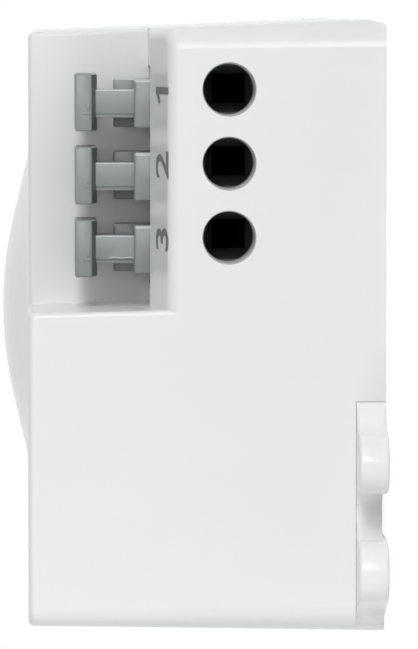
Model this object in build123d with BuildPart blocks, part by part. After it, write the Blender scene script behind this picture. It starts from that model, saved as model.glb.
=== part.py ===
from build123d import *
import os
from math import cos, radians, sin, tan

# Microwave motion sensor: a white case on a mounting plate, with a push-in terminal at one end.
# Millimetres. Z = 0 is the mounting face and +Z points out of the front, where the dome looks.
# The terminal end faces -Y, and the three wire holes stand in a row along X.

os.makedirs("parts", exist_ok=True)

# Case
case_width = 41.6
case_length = 80.0
case_height = 24.2
draft_angle = 1.6
side_lean = 0.7
wall = 1.5
corner_radius = 1.9
front_edge_radius = 0.4
rim_taper = 0.34
rim_height = 1.3
fit_gap = 0.15

# Dome in the front wall, over the radar
dome_y = -12.0
dome_height = 1.9
dome_cap_radius = 28.0
dome_flank_angle = 13.2
dome_blend_radius = 6.0

# Terminal: wire holes in the end wall, and release buttons in the pocket above them
pole_count = 3
pole_pitch = 5.0
pole_inset = 9.75
wire_axis_z = 10.6
wire_hole_radius = 1.73
wire_mouth_radius = 1.86
wire_mouth_depth = 1.2
wire_guide_depth = 4.0
wire_guide_side = 2.6
button_offset_x = -1.05

# Pocket at the corner of the front, round the buttons
pocket_width = 19.69
pocket_side_draft = 1.26
pocket_depth = 13.0
shelf_depth = 4.5
shelf_front_z = 14.5
shelf_back_z = 15.86
shelf_wall = 1.4
shelf_lip_radius = 0.8
pocket_rim_radius = 0.3

# Mounting plate with a notched lug at each end, on opposite sides
plate_thickness = 2.0
lug_inset = 8.1
lug_reach = 4.3
lug_root_half = 7.65
lug_shoulder_half = 6.1
lug_shoulder_rise = 0.5
lug_tip_half = 5.3
lug_foot_half = 7.1
lug_corner_setback = 1.6
lug_shoulder_radius = 2.5
lug_tip_radius = 1.8
lug_foot_radius = 0.7
lug_corner_radius = 0.4
notch_radius = 1.6
notch_floor = 0.1
notch_lip_radius = 1.8
pry_groove_length = 4.0
pry_groove_depth = 0.26
lug_slot_gap = 0.02
lug_slot_depth = 3.2

# Snap hooks on the plate, caught in recesses inside the long walls
hook_y = 20.0
hook_width = 6.0
hook_thickness = 1.1
hook_height = 7.6
hook_barb = 0.7
hook_barb_height = 1.5
hook_wall_gap = 0.3
catch_gap = 0.2

# Boards
board_thickness = 1.6
main_board_z = 3.6
main_board_side_gap = 0.6
main_board_end_gap = 0.9
upper_board_thickness = 1.2
upper_board_drop = 7.2
upper_board_side_gap = 0.8
upper_board_end_gap = 1.0
board_corner_radius = 1.0
lead_gap = 0.1
lead_stub = 1.1

# Screws and posts that hold the boards
screw_radius = 1.05
screw_length = 3.4
screw_head_radius = 1.9
screw_head_height = 1.3
screw_gap = 0.05
screw_tip_gap = 0.4
post_radius = 2.4
pad_side = 4.0
post_side_inset = 6.4
post_end_inset = 6.2
main_screw_x = 6.0
main_screw_inset = 10.0
main_rest_inset = 5.6
upper_screw_inset = 18.6

# Terminal body
body_gap = 0.1
body_depth = 11.2
body_low_reach = 8.35
body_high_reach = 7.25
body_top_z = 14.1
tower_low_reach = 8.35
tower_high_reach = 6.45
tower_top_z = 15.6
tower_gap = 0.1
funnel_depth = 3.2
funnel_angle = 11.0
wire_slot = (2.0, 2.6)
cover_thickness = 0.9
cover_overlap = 0.35
cover_gap = 0.06

# Clamp cell of each pole: a bent leaf below the wire and a contact bar above it
cell_offset_x = -0.6
cell_width = 3.9
cell_floor_z = 6.1
bar_thickness = 0.6
bar_width = 2.4
bar_underside_z = 11.6
bar_leg_gap = 0.2
leaf_thickness = 0.3
leaf_angle = 50.0
leaf_length = 5.4
leaf_width = 3.3
leaf_bend_radius = 0.95
leaf_gap = 0.1
solder_leg_width = 0.9

# Release button: head, neck, guide collar, rear guide and the nose that opens the leaf
button_gap = 0.12
button_edge = 0.25
button_head_width = 3.94
button_head_depth = 5.5
button_head_top_z = 21.0
button_head_height = 1.54
button_head_step = 0.38
button_head_inset = 0.12
button_head_offset_x = 0.1
button_set_back = 0.9
button_neck_width = 1.93
button_collar_width = 3.34
button_collar_depth = 5.9
button_collar_top_z = 16.95
button_rear_depth = 1.4
button_rear_top_z = 18.3
button_bottom_z = 14.4
button_nose_width = 0.7
button_nose_offset_x = -0.8
button_nose_depth = 1.0
button_nose_gap = 0.1
button_travel = 1.6
button_stop_gap = 0.05

# Trimmers and the knobs that turn them
trimmer_y = 24.0
trimmer_pitch = 10.0
trimmer_names = ["range", "time", "light"]
trimmer_side = 6.8
trimmer_height = 3.0
trimmer_leg = 0.6
trimmer_leg_pitch = 5.0
knob_radius = 2.7
knob_hole_gap = 0.08
knob_flange_radius = 3.3
knob_flange_height = 0.7
knob_seat_gap = 0.1
knob_sink = 0.35
knob_shaft_radius = 1.25
knob_shaft_gap = 0.05
knob_shaft_length = 3.0
knob_slot_width = 0.9
knob_slot_depth = 0.8
dial_radius = 3.9
dial_depth = 0.25

# Light window and the photodiode under it
window_y = 11.5
window_radius = 2.0
window_gap = 0.08
window_flange_radius = 2.7
window_flange_height = 0.8
window_stem_radius = 1.5
photodiode_side = 3.2
photodiode_height = 1.2
photodiode_gap = 0.3

# Radar module under the dome
radar_side = 20.0
radar_thickness = 0.8
radar_lift = 2.2
radar_pin_inset = 1.5
radar_pin_width = 0.6
radar_pin_above = 0.5
patch_side = 12.0
patch_gap = 1.0
patch_thickness = 0.07
feed_width = 0.8
can_size = (11.0, 9.0, 1.8)
can_wall = 0.25

# Parts on the main board: centre, then size
relay_at = (-9.5, 17.5)
relay_size = (10.2, 20.4)
relay_room_above = 1.6
relay_edge = 0.5
relay_legs = [(-3.8, -7.6), (3.8, -7.6), (-3.8, 2.0), (3.8, 7.6), (-3.8, 7.6)]
film_capacitor_at = (-12.4, -12.0)
film_capacitor_size = (6.0, 13.0)
film_capacitor_room_above = 1.8
film_capacitor_pitch = 10.0
electrolytic_at = [(9.0, 12.0), (9.0, 22.5)]
electrolytic_radius = 4.0
electrolytic_room_above = 1.4
electrolytic_pitch = 3.5
varistor_at = (-2.4, -18.5)
varistor_radius = 3.6
varistor_thickness = 3.0
varistor_lift = 0.8
varistor_pitch = 5.0
fuse_at = (-11.6, -23.2)
fuse_radius = 3.6
fuse_height = 7.2
fuse_pitch = 5.08
rectifier_at = (4.8, -12.0)
rectifier_size = (6.4, 8.4, 3.2)
rectifier_leg_x = 3.7
rectifier_leg_y = 2.54
choke_at = (-2.2, -6.0)
choke_radius = 3.0
choke_height = 7.5
choke_pitch = 3.0
resistor_at = [(11.2, -13.5), (14.6, -13.5)]
resistor_radius = 1.15
resistor_length = 6.2
resistor_pitch = 9.2
resistor_lift = 0.3
link_inset = 5.4
link_y = 1.0
link_pitch = 2.54
link_count = 5
link_pin_width = 0.64
link_body_height = 2.5
thin_lead_width = 0.5
flat_leg_width = 0.7

# Parts on the upper board
chip_at = (-9.6, 6.0)
chip_size = (3.9, 8.6, 1.4)
chip_lead_count = 7
chip_lead_pitch = 1.2
chip_lead_width = 0.42
chip_lead_thickness = 0.2
chip_lead_reach = 0.8
chip_edge = 0.15
passive_size = (1.2, 2.0, 0.6)
passive_rows = 2
passive_columns = 4
passive_pitch = 2.6
passive_row_pitch = 3.9
passives_at = (9.0, 8.5)

# Heights and places that follow from the sizes above
lean = tan(radians(draft_angle))
case_side_x = case_width / 2
case_end_y = case_length / 2
terminal_end_y = -case_end_y
pocket_side_x = case_side_x - pocket_width
lug_x = case_side_x - lug_inset
pole_centre_x = case_side_x - pole_inset
body_low_x = pole_centre_x - body_low_reach
body_high_x = pole_centre_x + body_high_reach
tower_low_x = pole_centre_x - tower_low_reach
tower_high_x = pole_centre_x + tower_high_reach
case_inside_z = case_height - wall
pocket_back_y = terminal_end_y + pocket_depth
shelf_back_y = terminal_end_y + shelf_depth
main_board_top = main_board_z + board_thickness
upper_board_z = case_height - upper_board_drop
upper_board_top = upper_board_z + upper_board_thickness
board_room = upper_board_z - main_board_top
radar_z = upper_board_top + radar_lift
wire_axes_x = [pole_centre_x + pole_pitch * (1 - pole) for pole in range(pole_count)]
button_axes_x = [x + button_offset_x for x in wire_axes_x]
body_front_y = terminal_end_y + wire_guide_depth + body_gap
body_back_y = body_front_y + body_depth
cell_front_y = body_front_y + funnel_depth
cell_back_y = body_back_y - cover_thickness
cell_roof_z = bar_underside_z + bar_thickness
bar_leg_y = cell_back_y - bar_leg_gap - bar_thickness / 2
button_front_y = shelf_back_y + button_set_back
button_rear_y = button_front_y + button_collar_depth
lead_end_z = main_board_z - lead_stub
trimmer_axes_x = [trimmer_pitch * (place - 1) for place in range(len(trimmer_names))]


# Plane on the back of the case, square to the way the case leans
lean_plane = Plane(
    origin=(0, 0, 0),
    x_dir=(cos(radians(side_lean)), 0, sin(radians(side_lean))),
    z_dir=(-sin(radians(side_lean)), 0, cos(radians(side_lean))),
)

# Plane that trims the rim of the case along one long side, to a taper at the mounting face
rim_plane = Plane(
    origin=(case_side_x - rim_taper, 0, 0),
    x_dir=(0, 1, 0),
    z_dir=(rim_height, 0, -rim_taper),
)


def inside_half_width(z):
    """Half the width of the hollow, which narrows towards the front with the draft."""
    return case_width / 2 - wall - z * lean


def inside_half_length(z):
    """Half the length of the hollow at a height."""
    return case_length / 2 - wall - z * lean


def shifted(centre, offsets):
    """Each offset, moved to a part's centre."""
    return [(centre[0] + x, centre[1] + y) for x, y in offsets]


def pair_across(centre, pitch):
    """Two leads, one each side of a centre, along X."""
    return shifted(centre, [(-pitch / 2, 0), (pitch / 2, 0)])


def pair_along(centre, pitch):
    """Two leads, one each side of a centre, along Y."""
    return shifted(centre, [(0, -pitch / 2), (0, pitch / 2)])


# Posts and rests under the boards, near the corners of the case
post_x = case_side_x - post_side_inset
post_y = case_end_y - post_end_inset
main_screws = [(-post_x, main_screw_inset - case_end_y), (main_screw_x, post_y)]
main_rests = [(post_x, main_rest_inset - case_end_y), (-post_x, post_y)]
upper_screws = [(-post_x, upper_screw_inset - case_end_y), (post_x, post_y)]
upper_rests = [(post_x, upper_screw_inset - case_end_y), (-post_x, post_y)]

# Where leads pass through the boards
rectifier_legs = [
    (rectifier_leg_x * side, rectifier_leg_y * row) for side in (-1, 1) for row in (-1, 1)
]
link_at = (case_side_x - link_inset, link_y)
contact_leg_places = [(x, bar_leg_y) for x in wire_axes_x]
relay_leg_places = shifted(relay_at, relay_legs)
rectifier_leg_places = shifted(rectifier_at, rectifier_legs)
film_capacitor_places = pair_along(film_capacitor_at, film_capacitor_pitch)
electrolytic_places = [p for at in electrolytic_at for p in pair_across(at, electrolytic_pitch)]
varistor_places = pair_across(varistor_at, varistor_pitch)
fuse_places = pair_across(fuse_at, fuse_pitch)
choke_places = pair_across(choke_at, choke_pitch)
resistor_places = [p for at in resistor_at for p in pair_along(at, resistor_pitch)]
link_places = shifted(
    link_at, [(0, link_pitch * (pin - (link_count - 1) / 2)) for pin in range(link_count)]
)
radar_pin_offset = radar_side / 2 - radar_pin_inset
radar_pin_places = shifted(
    (0, dome_y), [(radar_pin_offset * a, radar_pin_offset * b) for a in (-1, 1) for b in (-1, 1)]
)
trimmer_leg_places = [
    (x + trimmer_leg_pitch / 2 * side, trimmer_y + trimmer_leg_pitch / 2 * row)
    for x in trimmer_axes_x
    for side, row in ((-1, -1), (1, -1), (0, 1))
]
thin_lead_places = (
    film_capacitor_places
    + electrolytic_places
    + varistor_places
    + fuse_places
    + choke_places
    + resistor_places
)
flat_leg_places = relay_leg_places + rectifier_leg_places


# Half section of the dome: a round cap, a straight flank and a hollow blend into the front
dome_flank = radians(dome_flank_angle)
dome_cap_edge_radius = dome_cap_radius * sin(dome_flank)
dome_cap_edge_rise = dome_height - dome_cap_radius * (1 - cos(dome_flank))
dome_foot_radius = dome_cap_edge_radius + dome_cap_edge_rise / tan(dome_flank)
dome_rim_radius = dome_foot_radius + 2 * dome_blend_radius * tan(dome_flank / 2)
dome_cap_centre_z = case_height + dome_height - dome_cap_radius
dome_seat_z = case_height - wall / 2
with BuildSketch(Plane.XZ.offset(-dome_y)) as dome:
    with BuildLine():
        CenterArc((0, dome_cap_centre_z), dome_cap_radius, 90 - dome_flank_angle, dome_flank_angle)
        FilletPolyline(
            (dome_cap_edge_radius, case_height + dome_cap_edge_rise),
            (dome_foot_radius, case_height),
            (dome_rim_radius, case_height),
            radius=dome_blend_radius,
        )
        Polyline(
            (dome_rim_radius, case_height),
            (dome_rim_radius, dome_seat_z),
            (0, dome_seat_z),
            (0, case_height + dome_height),
        )
    make_face()


def pocket_outline(grown):
    """Side view of the terminal pocket. Grown by a wall, it is what the hollow leaves round the pocket."""
    front_y = terminal_end_y - wall
    slope = (shelf_back_z - shelf_front_z) / shelf_depth
    back_y = pocket_back_y + (wall if grown else 0)
    drop = shelf_wall if grown else 0
    above = case_height + wall - shelf_back_z
    side = radians(pocket_side_draft)
    side_plane = Plane(
        origin=(pocket_side_x - (wall if grown else 0), 0, shelf_back_z),
        x_dir=(0, 1, 0),
        z_dir=(cos(side), 0, sin(side)),
    )
    with BuildSketch(side_plane) as outline:
        with BuildLine():
            Polyline(
                (front_y, shelf_front_z - shelf_back_z - slope * wall - drop),
                (shelf_back_y, -drop),
                (back_y, -drop),
                (back_y, above),
                (front_y, above),
                close=True,
            )
        make_face()
    return outline.sketch


# Hollow of the case, which the case is cut by
with BuildPart() as hollow:
    with BuildSketch(lean_plane.offset(-wall)):
        Rectangle(case_width - 2 * wall * (1 - lean), case_length - 2 * wall * (1 - lean))
    extrude(amount=case_height + wall, taper=draft_angle)
    split(bisect_by=Plane.XY.offset(case_inside_z), keep=Keep.BOTTOM)
    with Locations((0, dome_y, case_inside_z)):
        Cone(
            dome_foot_radius,
            dome_cap_edge_radius,
            dome_cap_edge_rise,
            align=(Align.CENTER, Align.CENTER, Align.MIN),
        )
    extrude(pocket_outline(grown=True), amount=case_width, dir=(1, 0, 0), mode=Mode.SUBTRACT)

# Lug at the terminal end, with an open notch for a mounting screw
notch_y = terminal_end_y - notch_floor - notch_radius
with BuildSketch() as lug:
    with BuildLine():
        FilletPolyline(
            (-lug_x + lug_root_half, terminal_end_y + lug_slot_depth),
            (-lug_x + lug_root_half, terminal_end_y),
            (-lug_x + lug_shoulder_half, terminal_end_y - lug_shoulder_rise),
            (-lug_x + lug_tip_half, terminal_end_y - lug_reach),
            (-lug_x - lug_tip_half, terminal_end_y - lug_reach),
            (-lug_x - lug_foot_half, terminal_end_y + lug_corner_setback),
            (-case_side_x, terminal_end_y + lug_corner_setback),
            (-case_side_x, terminal_end_y + lug_slot_depth),
            radius=[
                0,
                lug_shoulder_radius,
                lug_tip_radius,
                lug_tip_radius,
                lug_foot_radius,
                lug_corner_radius,
            ],
        )
        Line(
            (-case_side_x, terminal_end_y + lug_slot_depth),
            (-lug_x + lug_root_half, terminal_end_y + lug_slot_depth),
        )
    make_face()
    with Locations((-lug_x, notch_y)):
        Circle(notch_radius, mode=Mode.SUBTRACT)
    with Locations((-lug_x, notch_y - lug_reach)):
        Rectangle(2 * notch_radius, 2 * lug_reach, mode=Mode.SUBTRACT)
    tips = lug.vertices().group_by(Axis.Y)[0].sort_by(Axis.X)
    fillet(tips[1:-1], radius=notch_lip_radius)


# Case: a drafted box with the dome, the pocket, the wire guides and the seats for what it holds
housing_slot = lug_slot_depth + wall
catch_z = hook_height - hook_barb_height
catch_depth = hook_barb - hook_wall_gap + catch_gap
catch_centre_x = inside_half_width(catch_z)
boss_height = case_inside_z - upper_board_top
with BuildPart() as housing:
    with BuildSketch(lean_plane.offset(-wall)):
        RectangleRounded(case_width + 2 * wall * lean, case_length + 2 * wall * lean, corner_radius)
    extrude(amount=case_height + 2 * wall, taper=draft_angle)
    split(bisect_by=Plane.XY, keep=Keep.TOP)
    split(bisect_by=Plane.XY.offset(case_height), keep=Keep.BOTTOM)
    split(bisect_by=rim_plane, keep=Keep.BOTTOM)
    fillet(faces().sort_by(Axis.Z)[-1].edges(), front_edge_radius)
    revolve(dome.sketch, axis=Axis((0, dome_y, 0), (0, 0, 1)))
    extrude(pocket_outline(grown=False), amount=case_width, dir=(1, 0, 0), mode=Mode.SUBTRACT)
    lip = edges().sort_by_distance((case_width / 4, terminal_end_y, shelf_front_z))
    fillet(lip[0], shelf_lip_radius)
    high = edges().filter_by_position(Axis.Z, shelf_back_z + fit_gap, case_height + fit_gap)
    side_rim = high.filter_by_position(Axis.X, pocket_side_x - fit_gap, pocket_side_x + fit_gap)
    side_rim = side_rim.filter_by_position(Axis.Y, terminal_end_y, pocket_back_y - fit_gap)
    back_rim = high.filter_by_position(Axis.Y, pocket_back_y - fit_gap, pocket_back_y + fit_gap)
    back_rim = back_rim.filter_by_position(Axis.X, pocket_side_x + fit_gap, case_width / 2)
    fillet(side_rim + back_rim, pocket_rim_radius)
    add(hollow.part, mode=Mode.SUBTRACT)
    with Locations((pole_centre_x, terminal_end_y + wire_guide_depth, wire_axis_z)):
        Box(
            pole_pitch * (pole_count - 1) + 2 * wire_guide_side,
            wire_guide_depth - wall / 2,
            2 * wire_guide_side,
            align=(Align.CENTER, Align.MAX, Align.CENTER),
        )
    with BuildSketch(Plane.XZ.offset(-(terminal_end_y + wire_guide_depth))):
        with Locations([(x, wire_axis_z) for x in wire_axes_x]):
            Circle(wire_hole_radius)
    extrude(amount=wire_guide_depth + wall, mode=Mode.SUBTRACT)
    with Locations(
        [
            Location((x, terminal_end_y + wire_mouth_depth, wire_axis_z), (90, 0, 0))
            for x in wire_axes_x
        ]
    ):
        Cone(
            wire_hole_radius,
            wire_mouth_radius,
            wire_mouth_depth,
            align=(Align.CENTER, Align.CENTER, Align.MIN),
            mode=Mode.SUBTRACT,
        )
    with BuildSketch(Plane.XY.offset(shelf_back_z)):
        with Locations(((tower_low_x + tower_high_x) / 2, (shelf_back_y + pocket_back_y) / 2)):
            Rectangle(
                tower_high_x - tower_low_x + 2 * tower_gap,
                pocket_back_y - shelf_back_y,
            )
    extrude(amount=-2 * shelf_wall, mode=Mode.SUBTRACT)
    with Locations(
        [(side * catch_centre_x, row * hook_y, catch_z) for side in (-1, 1) for row in (-1, 1)]
    ):
        Box(
            2 * catch_depth,
            hook_width + 2 * catch_gap,
            hook_barb_height + catch_gap,
            align=(Align.CENTER, Align.CENTER, Align.MIN),
            mode=Mode.SUBTRACT,
        )
    with Locations(Location((0, 0, 0)), Location((0, 0, 0), (0, 0, 180))):
        with Locations((lug_root_half - lug_x + lug_slot_gap, terminal_end_y + lug_slot_depth, 0)):
            Box(
                case_width,
                housing_slot,
                2 * (plate_thickness + lug_slot_gap),
                align=(Align.MAX, Align.MAX, Align.CENTER),
                mode=Mode.SUBTRACT,
            )
    with BuildSketch(Plane.XY.offset(upper_board_top)):
        with Locations(upper_screws):
            Circle(post_radius)
        with Locations(upper_rests):
            Rectangle(pad_side, pad_side)
    extrude(amount=boss_height + wall / 2)
    with BuildSketch(Plane.XY.offset(upper_board_top)):
        with Locations(upper_screws):
            Circle(screw_radius + screw_gap)
    extrude(amount=screw_length - upper_board_thickness + screw_tip_gap, mode=Mode.SUBTRACT)
    with BuildSketch(Plane.XY.offset(case_height)):
        with Locations([(x, trimmer_y) for x in trimmer_axes_x]):
            Circle(knob_radius + knob_hole_gap)
        with Locations((0, window_y)):
            Circle(window_radius + window_gap)
    extrude(amount=-2 * wall, mode=Mode.SUBTRACT)
    with BuildSketch(Plane.XY.offset(case_height)):
        with Locations([(x, trimmer_y) for x in trimmer_axes_x]):
            Circle(dial_radius)
    extrude(amount=-dial_depth, mode=Mode.SUBTRACT)
housing.part.label = "housing"
export_step(housing.part, "parts/housing.step")

# Snap hooks, as a pair across the plate
hook_outer_x = inside_half_width(hook_height) - hook_wall_gap
hook_inner_x = hook_outer_x - hook_thickness
with BuildPart() as hooks:
    with BuildSketch(Plane.XZ):
        with BuildLine():
            Polyline(
                (hook_inner_x, plate_thickness / 2),
                (hook_outer_x, plate_thickness / 2),
                (hook_outer_x, catch_z),
                (hook_outer_x + hook_barb, catch_z),
                (hook_outer_x + hook_barb, catch_z + hook_barb_height / 3),
                (hook_outer_x, hook_height),
                (hook_inner_x, hook_height),
                close=True,
            )
        make_face()
    extrude(amount=hook_width / 2, both=True)
    mirror(about=Plane.YZ)

# Mounting plate with its lugs, hooks and board posts, and a groove in from each notch to lever it off
with BuildPart() as base_plate:
    with BuildSketch():
        Rectangle(
            2 * (inside_half_width(plate_thickness) - fit_gap),
            2 * (inside_half_length(plate_thickness) - fit_gap),
        )
        add(lug.sketch)
        add(lug.sketch.rotate(Axis.Z, 180))
    extrude(amount=plate_thickness)
    with Locations(Location((-lug_x, notch_y, 0)), Location((lug_x, -notch_y, 0), (0, 0, 180))):
        Box(
            2 * notch_radius,
            notch_radius + pry_groove_length,
            2 * pry_groove_depth,
            align=(Align.CENTER, Align.MIN, Align.CENTER),
            mode=Mode.SUBTRACT,
        )
    with Locations((0, hook_y), (0, -hook_y)):
        add(hooks.part)
    with BuildSketch(Plane.XY.offset(plate_thickness)):
        with Locations(main_screws):
            Circle(post_radius)
        with Locations(main_rests):
            Rectangle(pad_side, pad_side)
    extrude(amount=main_board_z - plate_thickness)
    with BuildSketch(Plane.XY.offset(main_board_z)):
        with Locations(main_screws):
            Circle(screw_radius + screw_gap)
    extrude(amount=-(screw_length - board_thickness + screw_tip_gap), mode=Mode.SUBTRACT)
base_plate.part.label = "base_plate"
export_step(base_plate.part, "parts/base_plate.step")

# Main board, drilled for every lead and notched round the hooks
main_board_half_x = inside_half_width(main_board_top) - main_board_side_gap
main_board_half_y = inside_half_length(main_board_top) - main_board_end_gap
with BuildPart() as main_board:
    with BuildSketch(Plane.XY.offset(main_board_z)):
        RectangleRounded(2 * main_board_half_x, 2 * main_board_half_y, board_corner_radius)
        with Locations(
            [(side * main_board_half_x, row * hook_y) for side in (-1, 1) for row in (-1, 1)]
        ):
            Rectangle(
                2 * (main_board_half_x - hook_inner_x + hook_wall_gap),
                hook_width + 2 * hook_wall_gap,
                mode=Mode.SUBTRACT,
            )
        with Locations(main_screws):
            Circle(screw_radius + screw_gap, mode=Mode.SUBTRACT)
        with Locations(thin_lead_places):
            Rectangle(
                thin_lead_width + 2 * lead_gap, thin_lead_width + 2 * lead_gap, mode=Mode.SUBTRACT
            )
        with Locations(flat_leg_places):
            Rectangle(
                flat_leg_width + 2 * lead_gap, flat_leg_width + 2 * lead_gap, mode=Mode.SUBTRACT
            )
        with Locations(link_places):
            Rectangle(
                link_pin_width + 2 * lead_gap, link_pin_width + 2 * lead_gap, mode=Mode.SUBTRACT
            )
        with Locations(contact_leg_places):
            Rectangle(
                solder_leg_width + 2 * lead_gap, bar_thickness + 2 * lead_gap, mode=Mode.SUBTRACT
            )
    extrude(amount=board_thickness)
main_board.part.label = "main_board"
export_step(main_board.part, "parts/main_board.step")

# Upper board, under the front wall
upper_board_half_x = inside_half_width(upper_board_top) - upper_board_side_gap
upper_board_front_y = pocket_back_y + wall + upper_board_side_gap
upper_board_rear_y = inside_half_length(upper_board_top) - upper_board_end_gap
with BuildPart() as upper_board:
    with BuildSketch(Plane.XY.offset(upper_board_z)):
        with Locations((0, (upper_board_front_y + upper_board_rear_y) / 2)):
            RectangleRounded(
                2 * upper_board_half_x, upper_board_rear_y - upper_board_front_y, board_corner_radius
            )
        with Locations(upper_screws):
            Circle(screw_radius + screw_gap, mode=Mode.SUBTRACT)
        with Locations(link_places):
            Rectangle(
                link_pin_width + 2 * lead_gap, link_pin_width + 2 * lead_gap, mode=Mode.SUBTRACT
            )
        with Locations(radar_pin_places):
            Rectangle(
                radar_pin_width + 2 * lead_gap, radar_pin_width + 2 * lead_gap, mode=Mode.SUBTRACT
            )
        with Locations(trimmer_leg_places):
            Rectangle(trimmer_leg + 2 * lead_gap, trimmer_leg + 2 * lead_gap, mode=Mode.SUBTRACT)
    extrude(amount=upper_board_thickness)
upper_board.part.label = "upper_board"
export_step(upper_board.part, "parts/upper_board.step")

# Board screws: two down into the plate, two up into the case
with BuildPart() as screw:
    Cylinder(
        screw_head_radius, screw_head_height, align=(Align.CENTER, Align.CENTER, Align.MIN)
    )
    Cylinder(screw_radius, screw_length, align=(Align.CENTER, Align.CENTER, Align.MAX))

with BuildPart() as board_screws:
    with Locations([(x, y, main_board_top) for x, y in main_screws]):
        add(screw.part)
    with Locations([Location((x, y, upper_board_z), (180, 0, 0)) for x, y in upper_screws]):
        add(screw.part)
board_screws.part.label = "board_screws"
export_step(board_screws.part, "parts/board_screws.step")

# Terminal body: wire funnels at the front, clamp cells open at the rear, button wells in the tower
body_centre_x = (body_low_x + body_high_x) / 2
tower_centre_x = (tower_low_x + tower_high_x) / 2
tower_front_y = shelf_back_y + tower_gap
tower_rear_y = pocket_back_y - tower_gap
well_floor_z = button_bottom_z - button_travel - button_stop_gap
button_centre_y = (button_front_y + button_rear_y) / 2
nose_y = button_rear_y - button_nose_depth / 2
nose_axes_x = [x + button_nose_offset_x for x in button_axes_x]
cell_axes_x = [x + cell_offset_x for x in wire_axes_x]
cells_centre_x = pole_centre_x + cell_offset_x
cover_width = pole_pitch * (pole_count - 1) + cell_width + 2 * cover_overlap
cover_height = cell_roof_z - cell_floor_z + 2 * cover_overlap
cover_centre = (cells_centre_x, (cell_roof_z + cell_floor_z) / 2)
leg_slot_front_y = bar_leg_y - bar_thickness / 2 - lead_gap
with BuildPart() as terminal_body:
    with BuildSketch(Plane.XY.offset(main_board_top)):
        with Locations((body_centre_x, (body_front_y + body_back_y) / 2)):
            Rectangle(body_high_x - body_low_x, body_depth)
    extrude(amount=body_top_z - main_board_top)
    with BuildSketch(Plane.XY.offset(body_top_z)):
        with Locations((tower_centre_x, (tower_front_y + tower_rear_y) / 2)):
            Rectangle(tower_high_x - tower_low_x, tower_rear_y - tower_front_y)
    extrude(amount=tower_top_z - body_top_z)
    with BuildSketch(Plane.XY.offset(tower_top_z)):
        with Locations([(x, button_centre_y) for x in button_axes_x]):
            Rectangle(
                button_collar_width + 2 * button_gap, button_collar_depth + 2 * button_gap
            )
    extrude(amount=well_floor_z - tower_top_z, mode=Mode.SUBTRACT)
    with BuildSketch(Plane.XY.offset(well_floor_z)):
        with Locations([(x, nose_y) for x in nose_axes_x]):
            Rectangle(button_nose_width + 2 * button_gap, button_nose_depth + 2 * button_gap)
    extrude(amount=cell_roof_z - well_floor_z, mode=Mode.SUBTRACT)
    with Locations([(x, cell_front_y, cell_floor_z) for x in cell_axes_x]):
        Box(
            cell_width,
            body_depth,
            cell_roof_z - cell_floor_z,
            align=(Align.CENTER, Align.MIN, Align.MIN),
            mode=Mode.SUBTRACT,
        )
    with BuildSketch(Plane.XZ.offset(-cell_front_y)):
        with Locations([(x, wire_axis_z) for x in wire_axes_x]):
            Rectangle(wire_slot[0], wire_slot[1])
    extrude(amount=funnel_depth, taper=-funnel_angle, mode=Mode.SUBTRACT)
    with BuildSketch(Plane.XZ.offset(-body_back_y)):
        with Locations(cover_centre):
            Rectangle(cover_width, cover_height)
    extrude(amount=cover_thickness, mode=Mode.SUBTRACT)
    with Locations([(x, leg_slot_front_y, main_board_top) for x in wire_axes_x]):
        Box(
            solder_leg_width + 2 * lead_gap,
            body_depth,
            cell_floor_z - main_board_top,
            align=(Align.CENTER, Align.MIN, Align.MIN),
            mode=Mode.SUBTRACT,
        )
terminal_body.part.label = "terminal_body"
export_step(terminal_body.part, "parts/terminal_body.step")

# Cover that closes the clamp cells from behind
with BuildPart() as terminal_cover:
    with BuildSketch(Plane.XZ.offset(-body_back_y)):
        with Locations(cover_centre):
            Rectangle(cover_width - 2 * cover_gap, cover_height - 2 * cover_gap)
    extrude(amount=cover_thickness)
terminal_cover.part.label = "terminal_cover"
export_step(terminal_cover.part, "parts/terminal_cover.step")

# Contact bars: one over each wire, with a leg down through the main board
bar_rear_y = bar_leg_y + bar_thickness / 2
bar_front_y = cell_front_y + leaf_gap
with BuildPart() as contact_bars:
    with Locations([(x, bar_rear_y, cell_roof_z) for x in wire_axes_x]):
        Box(
            bar_width,
            bar_rear_y - bar_front_y,
            bar_thickness,
            align=(Align.CENTER, Align.MAX, Align.MAX),
        )
        Box(
            bar_width,
            bar_thickness,
            cell_roof_z - cell_floor_z - bar_leg_gap,
            align=(Align.CENTER, Align.MAX, Align.MAX),
        )
        Box(
            solder_leg_width,
            bar_thickness,
            cell_roof_z - lead_end_z,
            align=(Align.CENTER, Align.MAX, Align.MAX),
        )
contact_bars.part.label = "contact_bars"
export_step(contact_bars.part, "parts/contact_bars.step")

# Clamp spring: a leaf folded at the front, with its tip up under the contact bar
leaf_base_z = cell_floor_z + leaf_gap
leaf_top_z = bar_underside_z - leaf_gap
leaf_slope = radians(leaf_angle)
leaf_fold_y = cell_front_y + leaf_gap + leaf_bend_radius - leaf_bend_radius / tan(leaf_slope / 2)
leaf_tip_y = leaf_fold_y + (leaf_top_z - leaf_base_z) / tan(leaf_slope)
leaf_end_y = cell_front_y + leaf_gap + leaf_length
with BuildPart() as leaf:
    with BuildSketch(Plane.YZ):
        with BuildLine():
            FilletPolyline(
                (leaf_end_y, leaf_base_z),
                (leaf_fold_y, leaf_base_z),
                (leaf_tip_y, leaf_top_z),
                radius=leaf_bend_radius,
            )
            offset(amount=leaf_thickness, side=Side.RIGHT)
        make_face()
    extrude(amount=leaf_width / 2, both=True)

with BuildPart() as clamp_spring_1:
    with Locations((cell_axes_x[0], 0, 0)):
        add(leaf.part)
clamp_spring_1.part.label = "clamp_spring_1"
export_step(clamp_spring_1.part, "parts/clamp_spring_1.step")

with BuildPart() as clamp_spring_2:
    with Locations((cell_axes_x[1], 0, 0)):
        add(leaf.part)
clamp_spring_2.part.label = "clamp_spring_2"
export_step(clamp_spring_2.part, "parts/clamp_spring_2.step")

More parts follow.
